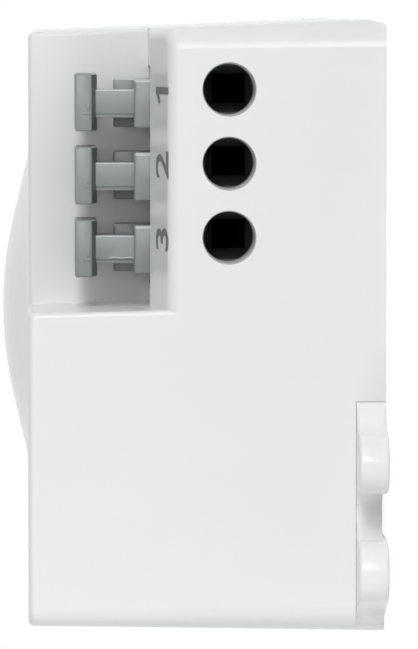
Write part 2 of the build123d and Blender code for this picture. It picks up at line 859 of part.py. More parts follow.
with BuildPart() as clamp_spring_3:
    with Locations((cell_axes_x[2], 0, 0)):
        add(leaf.part)
clamp_spring_3.part.label = "clamp_spring_3"
export_step(clamp_spring_3.part, "parts/clamp_spring_3.step")

# Release button: head, neck, collar in its well, rear guide, and a nose down to the leaf
button_head_base_z = button_head_top_z - button_head_height
button_nose_tip_z = leaf_top_z + button_nose_gap
with BuildPart() as button:
    with Locations((button_head_offset_x, button_front_y, button_head_top_z)):
        Box(
            button_head_width,
            button_head_depth,
            button_head_height - button_head_step,
            align=(Align.CENTER, Align.MIN, Align.MAX),
        )
    fillet(edges().group_by(Axis.Z)[-1], button_edge)
    with Locations((button_head_offset_x, button_front_y + button_head_inset, button_head_base_z)):
        Box(
            button_head_width - 2 * button_head_inset,
            button_head_depth - 2 * button_head_inset,
            button_head_height - button_edge,
            align=(Align.CENTER, Align.MIN, Align.MIN),
        )
    with Locations((0, button_front_y, button_bottom_z)):
        Box(
            button_neck_width,
            button_head_depth,
            button_head_base_z - button_bottom_z,
            align=(Align.CENTER, Align.MIN, Align.MIN),
        )
        Box(
            button_collar_width,
            button_collar_depth,
            button_collar_top_z - button_bottom_z,
            align=(Align.CENTER, Align.MIN, Align.MIN),
        )
    with Locations((0, button_rear_y, button_bottom_z)):
        Box(
            button_collar_width,
            button_rear_depth,
            button_rear_top_z - button_bottom_z,
            align=(Align.CENTER, Align.MAX, Align.MIN),
        )
    with Locations((button_nose_offset_x, nose_y, button_nose_tip_z)):
        Box(
            button_nose_width,
            button_nose_depth,
            button_collar_top_z - button_nose_tip_z,
            align=(Align.CENTER, Align.CENTER, Align.MIN),
        )

with BuildPart() as release_button_1:
    with Locations((button_axes_x[0], 0, 0)):
        add(button.part)
release_button_1.part.label = "release_button_1"
export_step(release_button_1.part, "parts/release_button_1.step")

with BuildPart() as release_button_2:
    with Locations((button_axes_x[1], 0, 0)):
        add(button.part)
release_button_2.part.label = "release_button_2"
export_step(release_button_2.part, "parts/release_button_2.step")

with BuildPart() as release_button_3:
    with Locations((button_axes_x[2], 0, 0)):
        add(button.part)
release_button_3.part.label = "release_button_3"
export_step(release_button_3.part, "parts/release_button_3.step")

# Trimmer: a square body on the upper board, bored for the knob's shaft
knob_flange_top_z = case_inside_z - knob_seat_gap
knob_flange_base_z = knob_flange_top_z - knob_flange_height
knob_shaft_end_z = knob_flange_base_z - knob_shaft_length
trimmer_top_z = upper_board_top + trimmer_height
with BuildPart() as trimmer:
    with Locations((0, trimmer_y, upper_board_top)):
        Box(
            trimmer_side,
            trimmer_side,
            trimmer_height,
            align=(Align.CENTER, Align.CENTER, Align.MIN),
        )
    with Locations((0, trimmer_y, trimmer_top_z)):
        Cylinder(
            knob_shaft_radius + knob_shaft_gap,
            trimmer_top_z - knob_shaft_end_z + knob_seat_gap,
            align=(Align.CENTER, Align.CENTER, Align.MAX),
            mode=Mode.SUBTRACT,
        )

with BuildPart() as range_trimmer:
    with Locations((trimmer_axes_x[0], 0, 0)):
        add(trimmer.part)
range_trimmer.part.label = "range_trimmer"
export_step(range_trimmer.part, "parts/range_trimmer.step")

with BuildPart() as time_trimmer:
    with Locations((trimmer_axes_x[1], 0, 0)):
        add(trimmer.part)
time_trimmer.part.label = "time_trimmer"
export_step(time_trimmer.part, "parts/time_trimmer.step")

with BuildPart() as light_trimmer:
    with Locations((trimmer_axes_x[2], 0, 0)):
        add(trimmer.part)
light_trimmer.part.label = "light_trimmer"
export_step(light_trimmer.part, "parts/light_trimmer.step")

with BuildPart() as trimmer_legs:
    with BuildSketch(Plane.XY.offset(upper_board_top)):
        with Locations(trimmer_leg_places):
            Rectangle(trimmer_leg, trimmer_leg)
    extrude(amount=-(upper_board_thickness + lead_stub))
trimmer_legs.part.label = "trimmer_legs"
export_step(trimmer_legs.part, "parts/trimmer_legs.step")

# Knob: a slotted cap in the front wall, a flange that holds it in, and a shaft into the trimmer
knob_top_z = case_height - knob_sink
with BuildPart() as knob:
    with Locations((0, trimmer_y, knob_shaft_end_z)):
        Cylinder(
            knob_shaft_radius,
            knob_flange_base_z - knob_shaft_end_z,
            align=(Align.CENTER, Align.CENTER, Align.MIN),
        )
    with Locations((0, trimmer_y, knob_flange_base_z)):
        Cylinder(
            knob_flange_radius, knob_flange_height, align=(Align.CENTER, Align.CENTER, Align.MIN)
        )
        Cylinder(
            knob_radius,
            knob_top_z - knob_flange_base_z,
            align=(Align.CENTER, Align.CENTER, Align.MIN),
        )
    with Locations((0, trimmer_y, knob_top_z)):
        Box(
            2 * (knob_radius - knob_slot_width),
            knob_slot_width,
            2 * knob_slot_depth,
            mode=Mode.SUBTRACT,
        )

with BuildPart() as range_knob:
    with Locations((trimmer_axes_x[0], 0, 0)):
        add(knob.part)
range_knob.part.label = "range_knob"
export_step(range_knob.part, "parts/range_knob.step")

with BuildPart() as time_knob:
    with Locations((trimmer_axes_x[1], 0, 0)):
        add(knob.part)
time_knob.part.label = "time_knob"
export_step(time_knob.part, "parts/time_knob.step")

with BuildPart() as light_knob:
    with Locations((trimmer_axes_x[2], 0, 0)):
        add(knob.part)
light_knob.part.label = "light_knob"
export_step(light_knob.part, "parts/light_knob.step")

# Light pipe in the front wall, over the light sensor
photodiode_top_z = upper_board_top + photodiode_height
with BuildPart() as light_pipe:
    with Locations((0, window_y, case_inside_z)):
        Cylinder(window_radius, wall, align=(Align.CENTER, Align.CENTER, Align.MIN))
    with Locations((0, window_y, case_inside_z)):
        Cylinder(
            window_flange_radius,
            window_flange_height,
            align=(Align.CENTER, Align.CENTER, Align.MAX),
        )
        Cylinder(
            window_stem_radius,
            case_inside_z - photodiode_top_z - photodiode_gap,
            align=(Align.CENTER, Align.CENTER, Align.MAX),
        )
light_pipe.part.label = "light_pipe"
export_step(light_pipe.part, "parts/light_pipe.step")

with BuildPart() as light_sensor:
    with Locations((0, window_y, upper_board_top)):
        Box(
            photodiode_side,
            photodiode_side,
            photodiode_height,
            align=(Align.CENTER, Align.CENTER, Align.MIN),
        )
light_sensor.part.label = "light_sensor"
export_step(light_sensor.part, "parts/light_sensor.step")

# Radar module: a small board on four pins, patches towards the dome, a can on the other side
radar_top_z = radar_z + radar_thickness
with BuildPart() as radar_board:
    with BuildSketch(Plane.XY.offset(radar_z)):
        with Locations((0, dome_y)):
            RectangleRounded(radar_side, radar_side, board_corner_radius)
        with Locations(radar_pin_places):
            Rectangle(
                radar_pin_width + 2 * lead_gap, radar_pin_width + 2 * lead_gap, mode=Mode.SUBTRACT
            )
    extrude(amount=radar_thickness)
radar_board.part.label = "radar_board"
export_step(radar_board.part, "parts/radar_board.step")

with BuildPart() as radar_pins:
    with BuildSketch(Plane.XY.offset(upper_board_z - radar_pin_above)):
        with Locations(radar_pin_places):
            Rectangle(radar_pin_width, radar_pin_width)
    extrude(amount=radar_top_z - upper_board_z + 2 * radar_pin_above)
radar_pins.part.label = "radar_pins"
export_step(radar_pins.part, "parts/radar_pins.step")

with BuildPart() as antenna_patch:
    with BuildSketch(Plane.XY.offset(radar_top_z)):
        with Locations((0, dome_y)):
            Rectangle(patch_side, patch_side)
            Rectangle(patch_side, patch_gap, mode=Mode.SUBTRACT)
            Rectangle(feed_width, patch_side)
    extrude(amount=patch_thickness)
antenna_patch.part.label = "antenna_patch"
export_step(antenna_patch.part, "parts/antenna_patch.step")

with BuildPart() as shield_can:
    with Locations((0, dome_y, radar_z)):
        Box(can_size[0], can_size[1], can_size[2], align=(Align.CENTER, Align.CENTER, Align.MAX))
        Box(
            can_size[0] - 2 * can_wall,
            can_size[1] - 2 * can_wall,
            can_size[2] - can_wall,
            align=(Align.CENTER, Align.CENTER, Align.MAX),
            mode=Mode.SUBTRACT,
        )
shield_can.part.label = "shield_can"
export_step(shield_can.part, "parts/shield_can.step")

# Controller chip with bent leads, and the small parts beside it
chip_middle_z = upper_board_top + chip_size[2] / 2
chip_side_x = chip_size[0] / 2
with BuildPart() as microcontroller:
    with Locations((chip_at[0], chip_at[1], upper_board_top)):
        Box(
            chip_size[0], chip_size[1], chip_size[2], align=(Align.CENTER, Align.CENTER, Align.MIN)
        )
    chamfer(edges().group_by(Axis.Z)[-1], chip_edge)
microcontroller.part.label = "microcontroller"
export_step(microcontroller.part, "parts/microcontroller.step")

with BuildPart() as lead_pair:
    with BuildSketch(Plane.XZ):
        with BuildLine():
            Polyline(
                (chip_side_x, chip_middle_z),
                (chip_side_x + chip_lead_reach, chip_middle_z),
                (chip_side_x + chip_lead_reach, upper_board_top),
            )
            offset(amount=chip_lead_thickness, side=Side.RIGHT)
        make_face()
    extrude(amount=chip_lead_width / 2, both=True)
    mirror(about=Plane.YZ)

with BuildPart() as microcontroller_leads:
    with Locations(
        [
            (chip_at[0], chip_at[1] + chip_lead_pitch * (lead - (chip_lead_count - 1) / 2), 0)
            for lead in range(chip_lead_count)
        ]
    ):
        add(lead_pair.part)
microcontroller_leads.part.label = "microcontroller_leads"
export_step(microcontroller_leads.part, "parts/microcontroller_leads.step")

with BuildPart() as chip_resistors:
    with BuildSketch(Plane.XY.offset(upper_board_top)):
        with Locations(passives_at):
            with GridLocations(passive_pitch, passive_row_pitch, passive_columns, passive_rows):
                Rectangle(passive_size[0], passive_size[1])
    extrude(amount=passive_size[2])
chip_resistors.part.label = "chip_resistors"
export_step(chip_resistors.part, "parts/chip_resistors.step")

# Relay with its legs
with BuildPart() as relay:
    with Locations((relay_at[0], relay_at[1], main_board_top)):
        Box(
            relay_size[0],
            relay_size[1],
            board_room - relay_room_above,
            align=(Align.CENTER, Align.CENTER, Align.MIN),
        )
    chamfer(edges().group_by(Axis.Z)[-1], relay_edge)
relay.part.label = "relay"
export_step(relay.part, "parts/relay.step")

with BuildPart() as relay_pins:
    with BuildSketch(Plane.XY.offset(lead_end_z)):
        with Locations(relay_leg_places):
            Rectangle(flat_leg_width, flat_leg_width)
    extrude(amount=main_board_top - lead_end_z)
relay_pins.part.label = "relay_pins"
export_step(relay_pins.part, "parts/relay_pins.step")

# Capacitors
with BuildPart() as film_capacitor:
    with Locations((film_capacitor_at[0], film_capacitor_at[1], main_board_top)):
        Box(
            film_capacitor_size[0],
            film_capacitor_size[1],
            board_room - film_capacitor_room_above,
            align=(Align.CENTER, Align.CENTER, Align.MIN),
        )
    chamfer(edges().group_by(Axis.Z)[-1], relay_edge)
film_capacitor.part.label = "film_capacitor"
export_step(film_capacitor.part, "parts/film_capacitor.step")

with BuildPart() as smoothing_capacitors:
    with Locations([(x, y, main_board_top) for x, y in electrolytic_at]):
        Cylinder(
            electrolytic_radius,
            board_room - electrolytic_room_above,
            align=(Align.CENTER, Align.CENTER, Align.MIN),
        )
smoothing_capacitors.part.label = "smoothing_capacitors"
export_step(smoothing_capacitors.part, "parts/smoothing_capacitors.step")

# Varistor disc, fuse and bridge rectifier
varistor_centre_z = main_board_top + varistor_lift + varistor_radius
with BuildPart() as varistor:
    with Locations(Location((varistor_at[0], varistor_at[1], varistor_centre_z), (90, 0, 0))):
        Cylinder(varistor_radius, varistor_thickness)
varistor.part.label = "varistor"
export_step(varistor.part, "parts/varistor.step")

with BuildPart() as fuse:
    with Locations((fuse_at[0], fuse_at[1], main_board_top)):
        Cylinder(fuse_radius, fuse_height, align=(Align.CENTER, Align.CENTER, Align.MIN))
fuse.part.label = "fuse"
export_step(fuse.part, "parts/fuse.step")

with BuildPart() as bridge_rectifier:
    with Locations((rectifier_at[0], rectifier_at[1], main_board_top)):
        Box(
            rectifier_size[0],
            rectifier_size[1],
            rectifier_size[2],
            align=(Align.CENTER, Align.CENTER, Align.MIN),
        )
    chamfer(edges().group_by(Axis.Z)[-1], relay_edge)
bridge_rectifier.part.label = "bridge_rectifier"
export_step(bridge_rectifier.part, "parts/bridge_rectifier.step")

with BuildPart() as rectifier_legs:
    with BuildSketch(Plane.XY.offset(lead_end_z)):
        with Locations(rectifier_leg_places):
            Rectangle(flat_leg_width, flat_leg_width)
    extrude(amount=main_board_top + rectifier_size[2] / 2 - lead_end_z)
rectifier_legs.part.label = "rectifier_legs"
export_step(rectifier_legs.part, "parts/rectifier_legs.step")

# Choke, in its sleeve
with BuildPart() as choke:
    with Locations((choke_at[0], choke_at[1], main_board_top)):
        Cylinder(choke_radius, choke_height, align=(Align.CENTER, Align.CENTER, Align.MIN))
choke.part.label = "choke"
export_step(choke.part, "parts/choke.step")

# Resistors, lying along Y, each with its two bent leads
resistor_z = main_board_top + resistor_lift + resistor_radius
with BuildPart() as resistors:
    with Locations([Location((x, y, resistor_z), (90, 0, 0)) for x, y in resistor_at]):
        Cylinder(resistor_radius, resistor_length)
resistors.part.label = "resistors"
export_step(resistors.part, "parts/resistors.step")

# Thin leads of the capacitors, varistor, fuse, choke and resistors, through the main board
upright_lead_places = film_capacitor_places + electrolytic_places + fuse_places + choke_places
lead_reach = (resistor_pitch - resistor_length + thin_lead_width) / 2
with BuildPart() as component_leads:
    with BuildSketch(Plane.XY.offset(lead_end_z)):
        with Locations(upright_lead_places):
            Rectangle(thin_lead_width, thin_lead_width)
    extrude(amount=main_board_top - lead_end_z)
    with BuildSketch(Plane.XY.offset(lead_end_z)):
        with Locations(varistor_places):
            Rectangle(thin_lead_width, thin_lead_width)
    extrude(until=Until.NEXT, target=varistor.part)
    with BuildSketch(Plane.XY.offset(lead_end_z)):
        with Locations(resistor_places):
            Rectangle(thin_lead_width, thin_lead_width)
    extrude(amount=resistor_z + thin_lead_width / 2 - lead_end_z)
    with Locations(
        [
            Location((x, y + side * resistor_length / 2, resistor_z), (0, 0, 90 * side))
            for x, y in resistor_at
            for side in (-1, 1)
        ]
    ):
        Box(
            lead_reach,
            thin_lead_width,
            thin_lead_width,
            align=(Align.MIN, Align.CENTER, Align.CENTER),
        )
component_leads.part.label = "component_leads"
export_step(component_leads.part, "parts/component_leads.step")

# Pin header that joins the two boards
with BuildPart() as link_header:
    with BuildSketch(Plane.XY.offset(main_board_top)):
        with Locations(link_at):
            Rectangle(link_pitch, link_pitch * link_count)
        with Locations(link_places):
            Rectangle(
                link_pin_width + 2 * lead_gap, link_pin_width + 2 * lead_gap, mode=Mode.SUBTRACT
            )
    extrude(amount=link_body_height)
link_header.part.label = "link_header"
export_step(link_header.part, "parts/link_header.step")

with BuildPart() as link_pins:
    with BuildSketch(Plane.XY.offset(lead_end_z)):
        with Locations(link_places):
            Rectangle(link_pin_width, link_pin_width)
    extrude(amount=upper_board_top + radar_pin_above - lead_end_z)
link_pins.part.label = "link_pins"
export_step(link_pins.part, "parts/link_pins.step")
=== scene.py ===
# %% [markdown]
# A microwave motion sensor, seen at its terminal end. The case, its plate, the terminal and the
# boards come from the construction model, which is the fixed frame here. This lesson dresses
# that frame: it sets up the view, the light and the floor, gives every part a finish that is
# made of nodes, and models the pieces that need softer forms than the construction model has.

# %% Load the frame
import math

import bpy
from mathutils import Matrix, Vector


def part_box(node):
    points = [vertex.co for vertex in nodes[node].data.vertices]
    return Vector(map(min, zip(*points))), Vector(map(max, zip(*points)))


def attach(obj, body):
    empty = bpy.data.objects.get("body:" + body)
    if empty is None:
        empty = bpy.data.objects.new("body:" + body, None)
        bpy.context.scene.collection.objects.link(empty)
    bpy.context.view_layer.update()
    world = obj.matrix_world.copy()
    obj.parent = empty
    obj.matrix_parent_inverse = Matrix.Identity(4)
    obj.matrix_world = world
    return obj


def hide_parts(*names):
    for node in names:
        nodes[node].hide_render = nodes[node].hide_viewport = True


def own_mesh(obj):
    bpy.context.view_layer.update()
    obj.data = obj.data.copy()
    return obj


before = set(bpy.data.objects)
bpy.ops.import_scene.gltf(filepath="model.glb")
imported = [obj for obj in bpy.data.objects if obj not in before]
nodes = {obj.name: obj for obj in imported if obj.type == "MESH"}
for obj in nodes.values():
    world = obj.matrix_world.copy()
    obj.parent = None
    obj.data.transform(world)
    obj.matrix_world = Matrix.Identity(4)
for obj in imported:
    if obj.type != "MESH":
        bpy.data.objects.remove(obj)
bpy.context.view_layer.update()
MM = 0.001
bpy.ops.object.select_all(action="DESELECT")
print("frame parts:", len(nodes))

# %% [markdown]
# The picture was taken square on to the terminal end, from a little above it and to one side,
# with a long lens. The object lies on its mounting face, so the picture's right side is down
# here, and the camera is rolled by a quarter turn to show it upright as in the picture.
# A camera can be turned with a constraint or by hand. Here its three axes are worked out from
# where it stands and where it looks, because that keeps the roll exact.

# %% Camera
CAMERA_AT = Vector((21.06, -400.0, 22.7)) * MM
CAMERA_TO = Vector((0.20, -40.0, 11.98)) * MM
CAMERA_LENS = 296.4
bpy.ops.object.camera_add(location=CAMERA_AT)
camera = bpy.context.object
camera.name = "photo_camera"
look = (CAMERA_TO - CAMERA_AT).normalized()
side = look.cross(Vector((1, 0, 0))).normalized()
above = side.cross(look)
camera.rotation_euler = Matrix((side, above, -look)).transposed().to_euler()
camera.data.lens = CAMERA_LENS
camera.data.sensor_width = 36.0
camera.data.clip_end = 20.0
bpy.context.scene.camera = camera
print("camera to object, mm:", round((CAMERA_TO - CAMERA_AT).length / MM, 1))

# %% [markdown]
# The backdrop and the fill light. The world gives an even fill from all round, less from
# overhead. Only the camera, mirrors and glass see the world as white: its light on the object
# is weaker, and a Light Path node tells the two apart.

# %% White world
FILL = 0.55
FILL_OVERHEAD = 0.20
FILL_COLOUR = (0.985, 0.995, 1.0, 1)
scene = bpy.context.scene
scene.view_settings.view_transform = "Standard"
world = bpy.data.worlds.new("white_studio")
scene.world = world
world.use_nodes = True
tree = world.node_tree
tree.nodes.clear()


def seen_directly(tree):
    """1 where a camera, glossy or transmission ray asks, else 0, for a floor or a world."""
    path = tree.nodes.new("ShaderNodeLightPath")
    first = tree.nodes.new("ShaderNodeMath")
    first.operation = "MAXIMUM"
    second = tree.nodes.new("ShaderNodeMath")
    second.operation = "MAXIMUM"
    tree.links.new(path.outputs["Is Camera Ray"], first.inputs[0])
    tree.links.new(path.outputs["Is Glossy Ray"], first.inputs[1])
    tree.links.new(first.outputs[0], second.inputs[0])
    tree.links.new(path.outputs["Is Transmission Ray"], second.inputs[1])
    return second.outputs[0]


world_out = tree.nodes.new("ShaderNodeOutputWorld")
world_mix = tree.nodes.new("ShaderNodeMixShader")
fill_light = tree.nodes.new("ShaderNodeBackground")
fill_light.inputs["Color"].default_value = FILL_COLOUR
sky_place = tree.nodes.new("ShaderNodeTexCoord")
sky_split = tree.nodes.new("ShaderNodeSeparateXYZ")
sky_fall = tree.nodes.new("ShaderNodeMapRange")
sky_fall.inputs["From Min"].default_value = 0.0
sky_fall.inputs["From Max"].default_value = 1.0
sky_fall.inputs["To Min"].default_value = FILL
sky_fall.inputs["To Max"].default_value = FILL_OVERHEAD
tree.links.new(sky_place.outputs["Generated"], sky_split.inputs["Vector"])
tree.links.new(sky_split.outputs["Z"], sky_fall.inputs["Value"])
tree.links.new(sky_fall.outputs["Result"], fill_light.inputs["Strength"])
white_backdrop = tree.nodes.new("ShaderNodeBackground")
white_backdrop.inputs["Color"].default_value = (1, 1, 1, 1)
tree.links.new(seen_directly(tree), world_mix.inputs["Fac"])
tree.links.new(fill_light.outputs[0], world_mix.inputs[1])
tree.links.new(white_backdrop.outputs[0], world_mix.inputs[2])
tree.links.new(world_mix.outputs[0], world_out.inputs["Surface"])
print("world fill", FILL, "overhead", FILL_OVERHEAD)

# %% [markdown]
# Sun lamps, whose light is the same everywhere. A soft key comes from above the camera, so that
# each button's shadow falls into the gap below it, a weak one beside the camera reaches into
# the pocket, and one from behind keeps the front and the far end from going grey. They are
# hidden from glossy rays, because the bright line along each rounded edge is drawn by a lamp
# that only glossy rays see: its strength sets the line without lightening the flat faces.

# %% Sun lamps


def add_lamp(name, comes_from, strength, spread):
    """A wide sun lamp whose light comes from a direction."""
    bpy.ops.object.light_add(type="SUN")
    lamp = bpy.context.object
    lamp.name = name
    lamp.rotation_euler = Vector(comes_from).to_track_quat("Z", "Y").to_euler()
    lamp.data.energy = strength
    lamp.data.angle = math.radians(spread)
    print(name, "strength", strength, "spread", spread)
    return lamp


key = add_lamp("key", (0.70, -0.70, 0.12), 1.62, 24)
key.visible_glossy = False
near = add_lamp("near", (0.16, -0.93, 0.33), 0.12, 20)
near.visible_glossy = False
back = add_lamp("back", (-0.25, 0.80, 0.54), 1.05, 40)
back.visible_glossy = False
glint = add_lamp("glint", (0.24, -0.97, 0.03), 1.10, 26)
glint.visible_diffuse = False

# %% [markdown]
# The picture grows brighter towards its foot. A sun lamp can't do that, so what lifts the
# undersides is a disc close by, whose light falls off with distance. It is hidden from the
# camera and from glossy rays too.

# %% Disc lamp
LIFT_AT = Vector((-120.0, -125.0, 14.0)) * MM
LIFT_TO = Vector((-10.0, -40.0, 12.0)) * MM
LIFT_SIZE = 90 * MM
LIFT_POWER = 0.062
bpy.ops.object.light_add(type="AREA", location=LIFT_AT)
lift = bpy.context.object
lift.name = "lift"
lift.rotation_euler = (LIFT_AT - LIFT_TO).to_track_quat("Z", "Y").to_euler()
lift.data.shape = "DISK"
lift.data.size = LIFT_SIZE
lift.data.energy = LIFT_POWER
lift.visible_camera = False
lift.visible_glossy = False
print("lift power", LIFT_POWER, "size, mm", round(LIFT_SIZE / MM))

# %% [markdown]
# The floor is a plain pale sheet just under the mounting face. The picture's background is
# pure white with next to no shadow, so the floor's shader is mostly white light of its own
# for the camera, with a small share of a real matt surface that keeps the soft shadow.

# %% Floor
FLOOR_SIZE = 6.0
FLOOR_DROP = 0.05 * MM
FLOOR_GLOW = 0.85
FLOOR_LIGHT = 1.12
FLOOR_PAPER = (0.9, 0.9, 0.9, 1)
bpy.ops.mesh.primitive_plane_add(size=FLOOR_SIZE, location=(0, 0, -FLOOR_DROP))
floor = bpy.context.object
floor.name = "floor"
bpy.ops.object.transform_apply(location=True)
paper = bpy.data.materials.new("floor_paper")
paper.use_nodes = True
tree = paper.node_tree
tree.nodes.clear()
paper_out = tree.nodes.new("ShaderNodeOutputMaterial")
matt = tree.nodes.new("ShaderNodeBsdfDiffuse")
matt.inputs["Color"].default_value = FLOOR_PAPER
glow = tree.nodes.new("ShaderNodeEmission")
glow.inputs["Strength"].default_value = FLOOR_LIGHT
paper_mix = tree.nodes.new("ShaderNodeMixShader")
share = tree.nodes.new("ShaderNodeMath")
share.operation = "MULTIPLY"
share.inputs[1].default_value = FLOOR_GLOW
tree.links.new(seen_directly(tree), share.inputs[0])
tree.links.new(share.outputs[0], paper_mix.inputs["Fac"])
tree.links.new(matt.outputs[0], paper_mix.inputs[1])
tree.links.new(glow.outputs[0], paper_mix.inputs[2])
tree.links.new(paper_mix.outputs[0], paper_out.inputs["Surface"])
floor.data.materials.append(paper)
print("floor side, m:", FLOOR_SIZE, "glow:", FLOOR_GLOW)

# %% [markdown]
# Finishes. Nearly all of them are one shader with three patterns in the piece's own
# coordinates: slow patches that shift the colour a little, fine patches that shift the gloss,
# and a fine grain that raises the surface. One helper lays these out, and each finish then
# only says how strong each pattern is and at what size, in millimetres.

# %% Helper for finishes
NOISE_LOW = 0.3
NOISE_HIGH = 0.7


def noise_at(tree, size_mm, detail=3.0):
    """A noise pattern in object coordinates, with patches of about the given size."""
    place = tree.nodes.new("ShaderNodeTexCoord")
    noise = tree.nodes.new("ShaderNodeTexNoise")
    noise.inputs["Scale"].default_value = 1.0 / (size_mm * MM)
    noise.inputs["Detail"].default_value = detail
    tree.links.new(place.outputs["Object"], noise.inputs["Vector"])
    return noise.outputs["Fac"]


def ranged(tree, value, low, high):
    """A pattern's middle range stretched to run from low to high."""
    span = tree.nodes.new("ShaderNodeMapRange")
    span.inputs["From Min"].default_value = NOISE_LOW
    span.inputs["From Max"].default_value = NOISE_HIGH
    span.inputs["To Min"].default_value = low
    span.inputs["To Max"].default_value = high
    tree.links.new(value, span.inputs["Value"])
    return span.outputs["Result"]


def blended(tree, factor, first, second):
    """Two colours mixed by a pattern."""
    mix = tree.nodes.new("ShaderNodeMix")
    mix.data_type = "RGBA"
    mix.inputs[6].default_value = (*first, 1)
    mix.inputs[7].default_value = (*second, 1)
    tree.links.new(factor, mix.inputs[0])
    return mix.outputs[2]


def make_finish(name, colour, shade=0.03, patch_mm=12, gloss=0.4, gloss_swing=0.06, gloss_mm=1.5,
                grain_mm=0.12, grain_height_mm=0.004, metal=0.0, **more):
    """A finish with shifting colour and gloss, and a fine raised grain."""
    finish = bpy.data.materials.new(name)
    finish.use_nodes = True
    tree = finish.node_tree
    shader = tree.nodes["Principled BSDF"]
    darker = tuple(c * (1 - shade) for c in colour)
    lighter = tuple(min(1.0, c * (1 + shade)) for c in colour)
    patches = ranged(tree, noise_at(tree, patch_mm), 0.0, 1.0)
    tree.links.new(blended(tree, patches, darker, lighter), shader.inputs["Base Color"])
    sheen = ranged(tree, noise_at(tree, gloss_mm), gloss - gloss_swing, gloss + gloss_swing)
    tree.links.new(sheen, shader.inputs["Roughness"])
    bump = tree.nodes.new("ShaderNodeBump")
    bump.inputs["Strength"].default_value = 1.0
    bump.inputs["Distance"].default_value = grain_height_mm * MM
    tree.links.new(noise_at(tree, grain_mm, 2.0), bump.inputs["Height"])
    tree.links.new(bump.outputs["Normal"], shader.inputs["Normal"])
    shader.inputs["Metallic"].default_value = metal
    for socket, value in more.items():
        shader.inputs[socket.replace("_", " ")].default_value = value
    return finish


def dress(finish, *names):
    """Gives a finish to parts of the frame."""
    for name in names:
        nodes[name].data.materials.clear()
        nodes[name].data.materials.append(finish)
    print(finish.name, "on", ", ".join(names))


# %% [markdown]
# The case and the plate are moulded in white plastic with a silky gloss, the plate a shade
# whiter. The grain is so fine that it only softens the highlights. Patches that are a touch
# darker and lighter keep the wide end face from looking like paper.

# %% White plastic
WHITE = (0.84, 0.855, 0.85)
PLATE_WHITE = (0.885, 0.9, 0.893)
case_white = make_finish("case_white", WHITE, shade=0.012, patch_mm=18, gloss=0.22,
                         gloss_swing=0.03, gloss_mm=2.0, grain_mm=0.15, grain_height_mm=0.0006)
plate_white = make_finish("plate_white", PLATE_WHITE, shade=0.012, patch_mm=14, gloss=0.22,
                          gloss_swing=0.03, gloss_mm=2.0, grain_mm=0.15, grain_height_mm=0.0015)
dress(case_white, "housing")
dress(plate_white, "base_plate")

# %% [markdown]
# The release buttons are a bluish mid grey plastic, the terminal body and its cover are a very
# dark grey that looks black in the wire holes' shade, and the knobs are a lighter grey. These
# are engineering plastics, so they shine less than the case and their grain is a bit coarser.

# %% Coloured plastics
button_grey = make_finish("button_grey", (0.270, 0.292, 0.294), shade=0.025, patch_mm=0.9,
                          gloss=0.32, gloss_swing=0.03, gloss_mm=0.8, grain_mm=0.12,
                          grain_height_mm=0.0015)
terminal_black = make_finish("terminal_black", (0.105, 0.110, 0.107), shade=0.2, patch_mm=3,
                             gloss=0.5, gloss_swing=0.08, grain_mm=0.1, grain_height_mm=0.004)
knob_grey = make_finish("knob_grey", (0.50, 0.52, 0.53), shade=0.04, patch_mm=2.5, gloss=0.42,
                        gloss_swing=0.06, grain_mm=0.12, grain_height_mm=0.003)
trimmer_blue = make_finish("trimmer_blue", (0.05, 0.13, 0.38), shade=0.08, patch_mm=3, gloss=0.5,
                           grain_mm=0.12, grain_height_mm=0.004)
dress(terminal_black, "terminal_body", "terminal_cover")
dress(knob_grey, "range_knob", "time_knob", "light_knob")
dress(trimmer_blue, "range_trimmer", "time_trimmer", "light_trimmer")

# %% [markdown]
# Metals. Spring leaves are blued steel. Contact bars are a copper alloy, painted near black with
# painted shade as deep as the shadow in the wire holes, and every lead is dipped in tin, which
# leaves a soft uneven shine. Screws are zinc plated.

# %% Metals
spring_steel = make_finish("spring_steel", (0.10, 0.105, 0.12), shade=0.08, patch_mm=1.5,
                           gloss=0.36, gloss_swing=0.06, grain_mm=0.2, grain_height_mm=0.002,
                           metal=1.0)
# The contact bars' near-black colour is painted shade, not the copper alloy's own colour.
contact_copper = make_finish("contact_copper", (0.016, 0.013, 0.011), shade=0.12, patch_mm=1.5,
                             gloss=0.55, gloss_swing=0.08, grain_mm=0.25, grain_height_mm=0.004,
                             metal=1.0)
tin = make_finish("tin", (0.72, 0.73, 0.74), shade=0.06, patch_mm=1.2, gloss=0.34,
                  gloss_swing=0.10, gloss_mm=0.6, grain_mm=0.4, grain_height_mm=0.01, metal=1.0)
antenna_copper = make_finish("antenna_copper", (0.86, 0.62, 0.28), shade=0.05, patch_mm=3,
                             gloss=0.28, gloss_swing=0.06, grain_mm=0.3, grain_height_mm=0.003,
                             metal=1.0)
screw_steel = make_finish("screw_steel", (0.60, 0.61, 0.63), shade=0.06, patch_mm=1.5,
                          gloss=0.30, gloss_swing=0.08, grain_mm=0.2, grain_height_mm=0.003,
                          metal=1.0)
dress(spring_steel, "clamp_spring_1", "clamp_spring_2", "clamp_spring_3")
dress(contact_copper, "contact_bars")
dress(antenna_copper, "antenna_patch")
dress(screw_steel, "board_screws")
dress(tin, "component_leads", "relay_pins", "rectifier_legs", "trimmer_legs", "link_pins",
      "radar_pins", "microcontroller_leads", "shield_can")

# %% [markdown]
# Boards. Solder mask is a clear green lacquer over copper tracks, so it shows lighter lines
# and dots where copper runs below it. A brick pattern gives square runs of track, its mortar
# lines stand a little proud as real tracks do, and a clear coat makes the lacquer.

# %% Board finish
TRACK_WIDTH = 0.32 * MM
TRACK_HEIGHT = 0.03 * MM
TRACK_RUN = 2.3
SECOND_SHADE = 0.9
LACQUER_COAT = 0.6
LACQUER_GLOSS = 0.15
BOARD_GLOSS = (0.28, 0.42)
BOARD_GLOSS_MM = 1.5


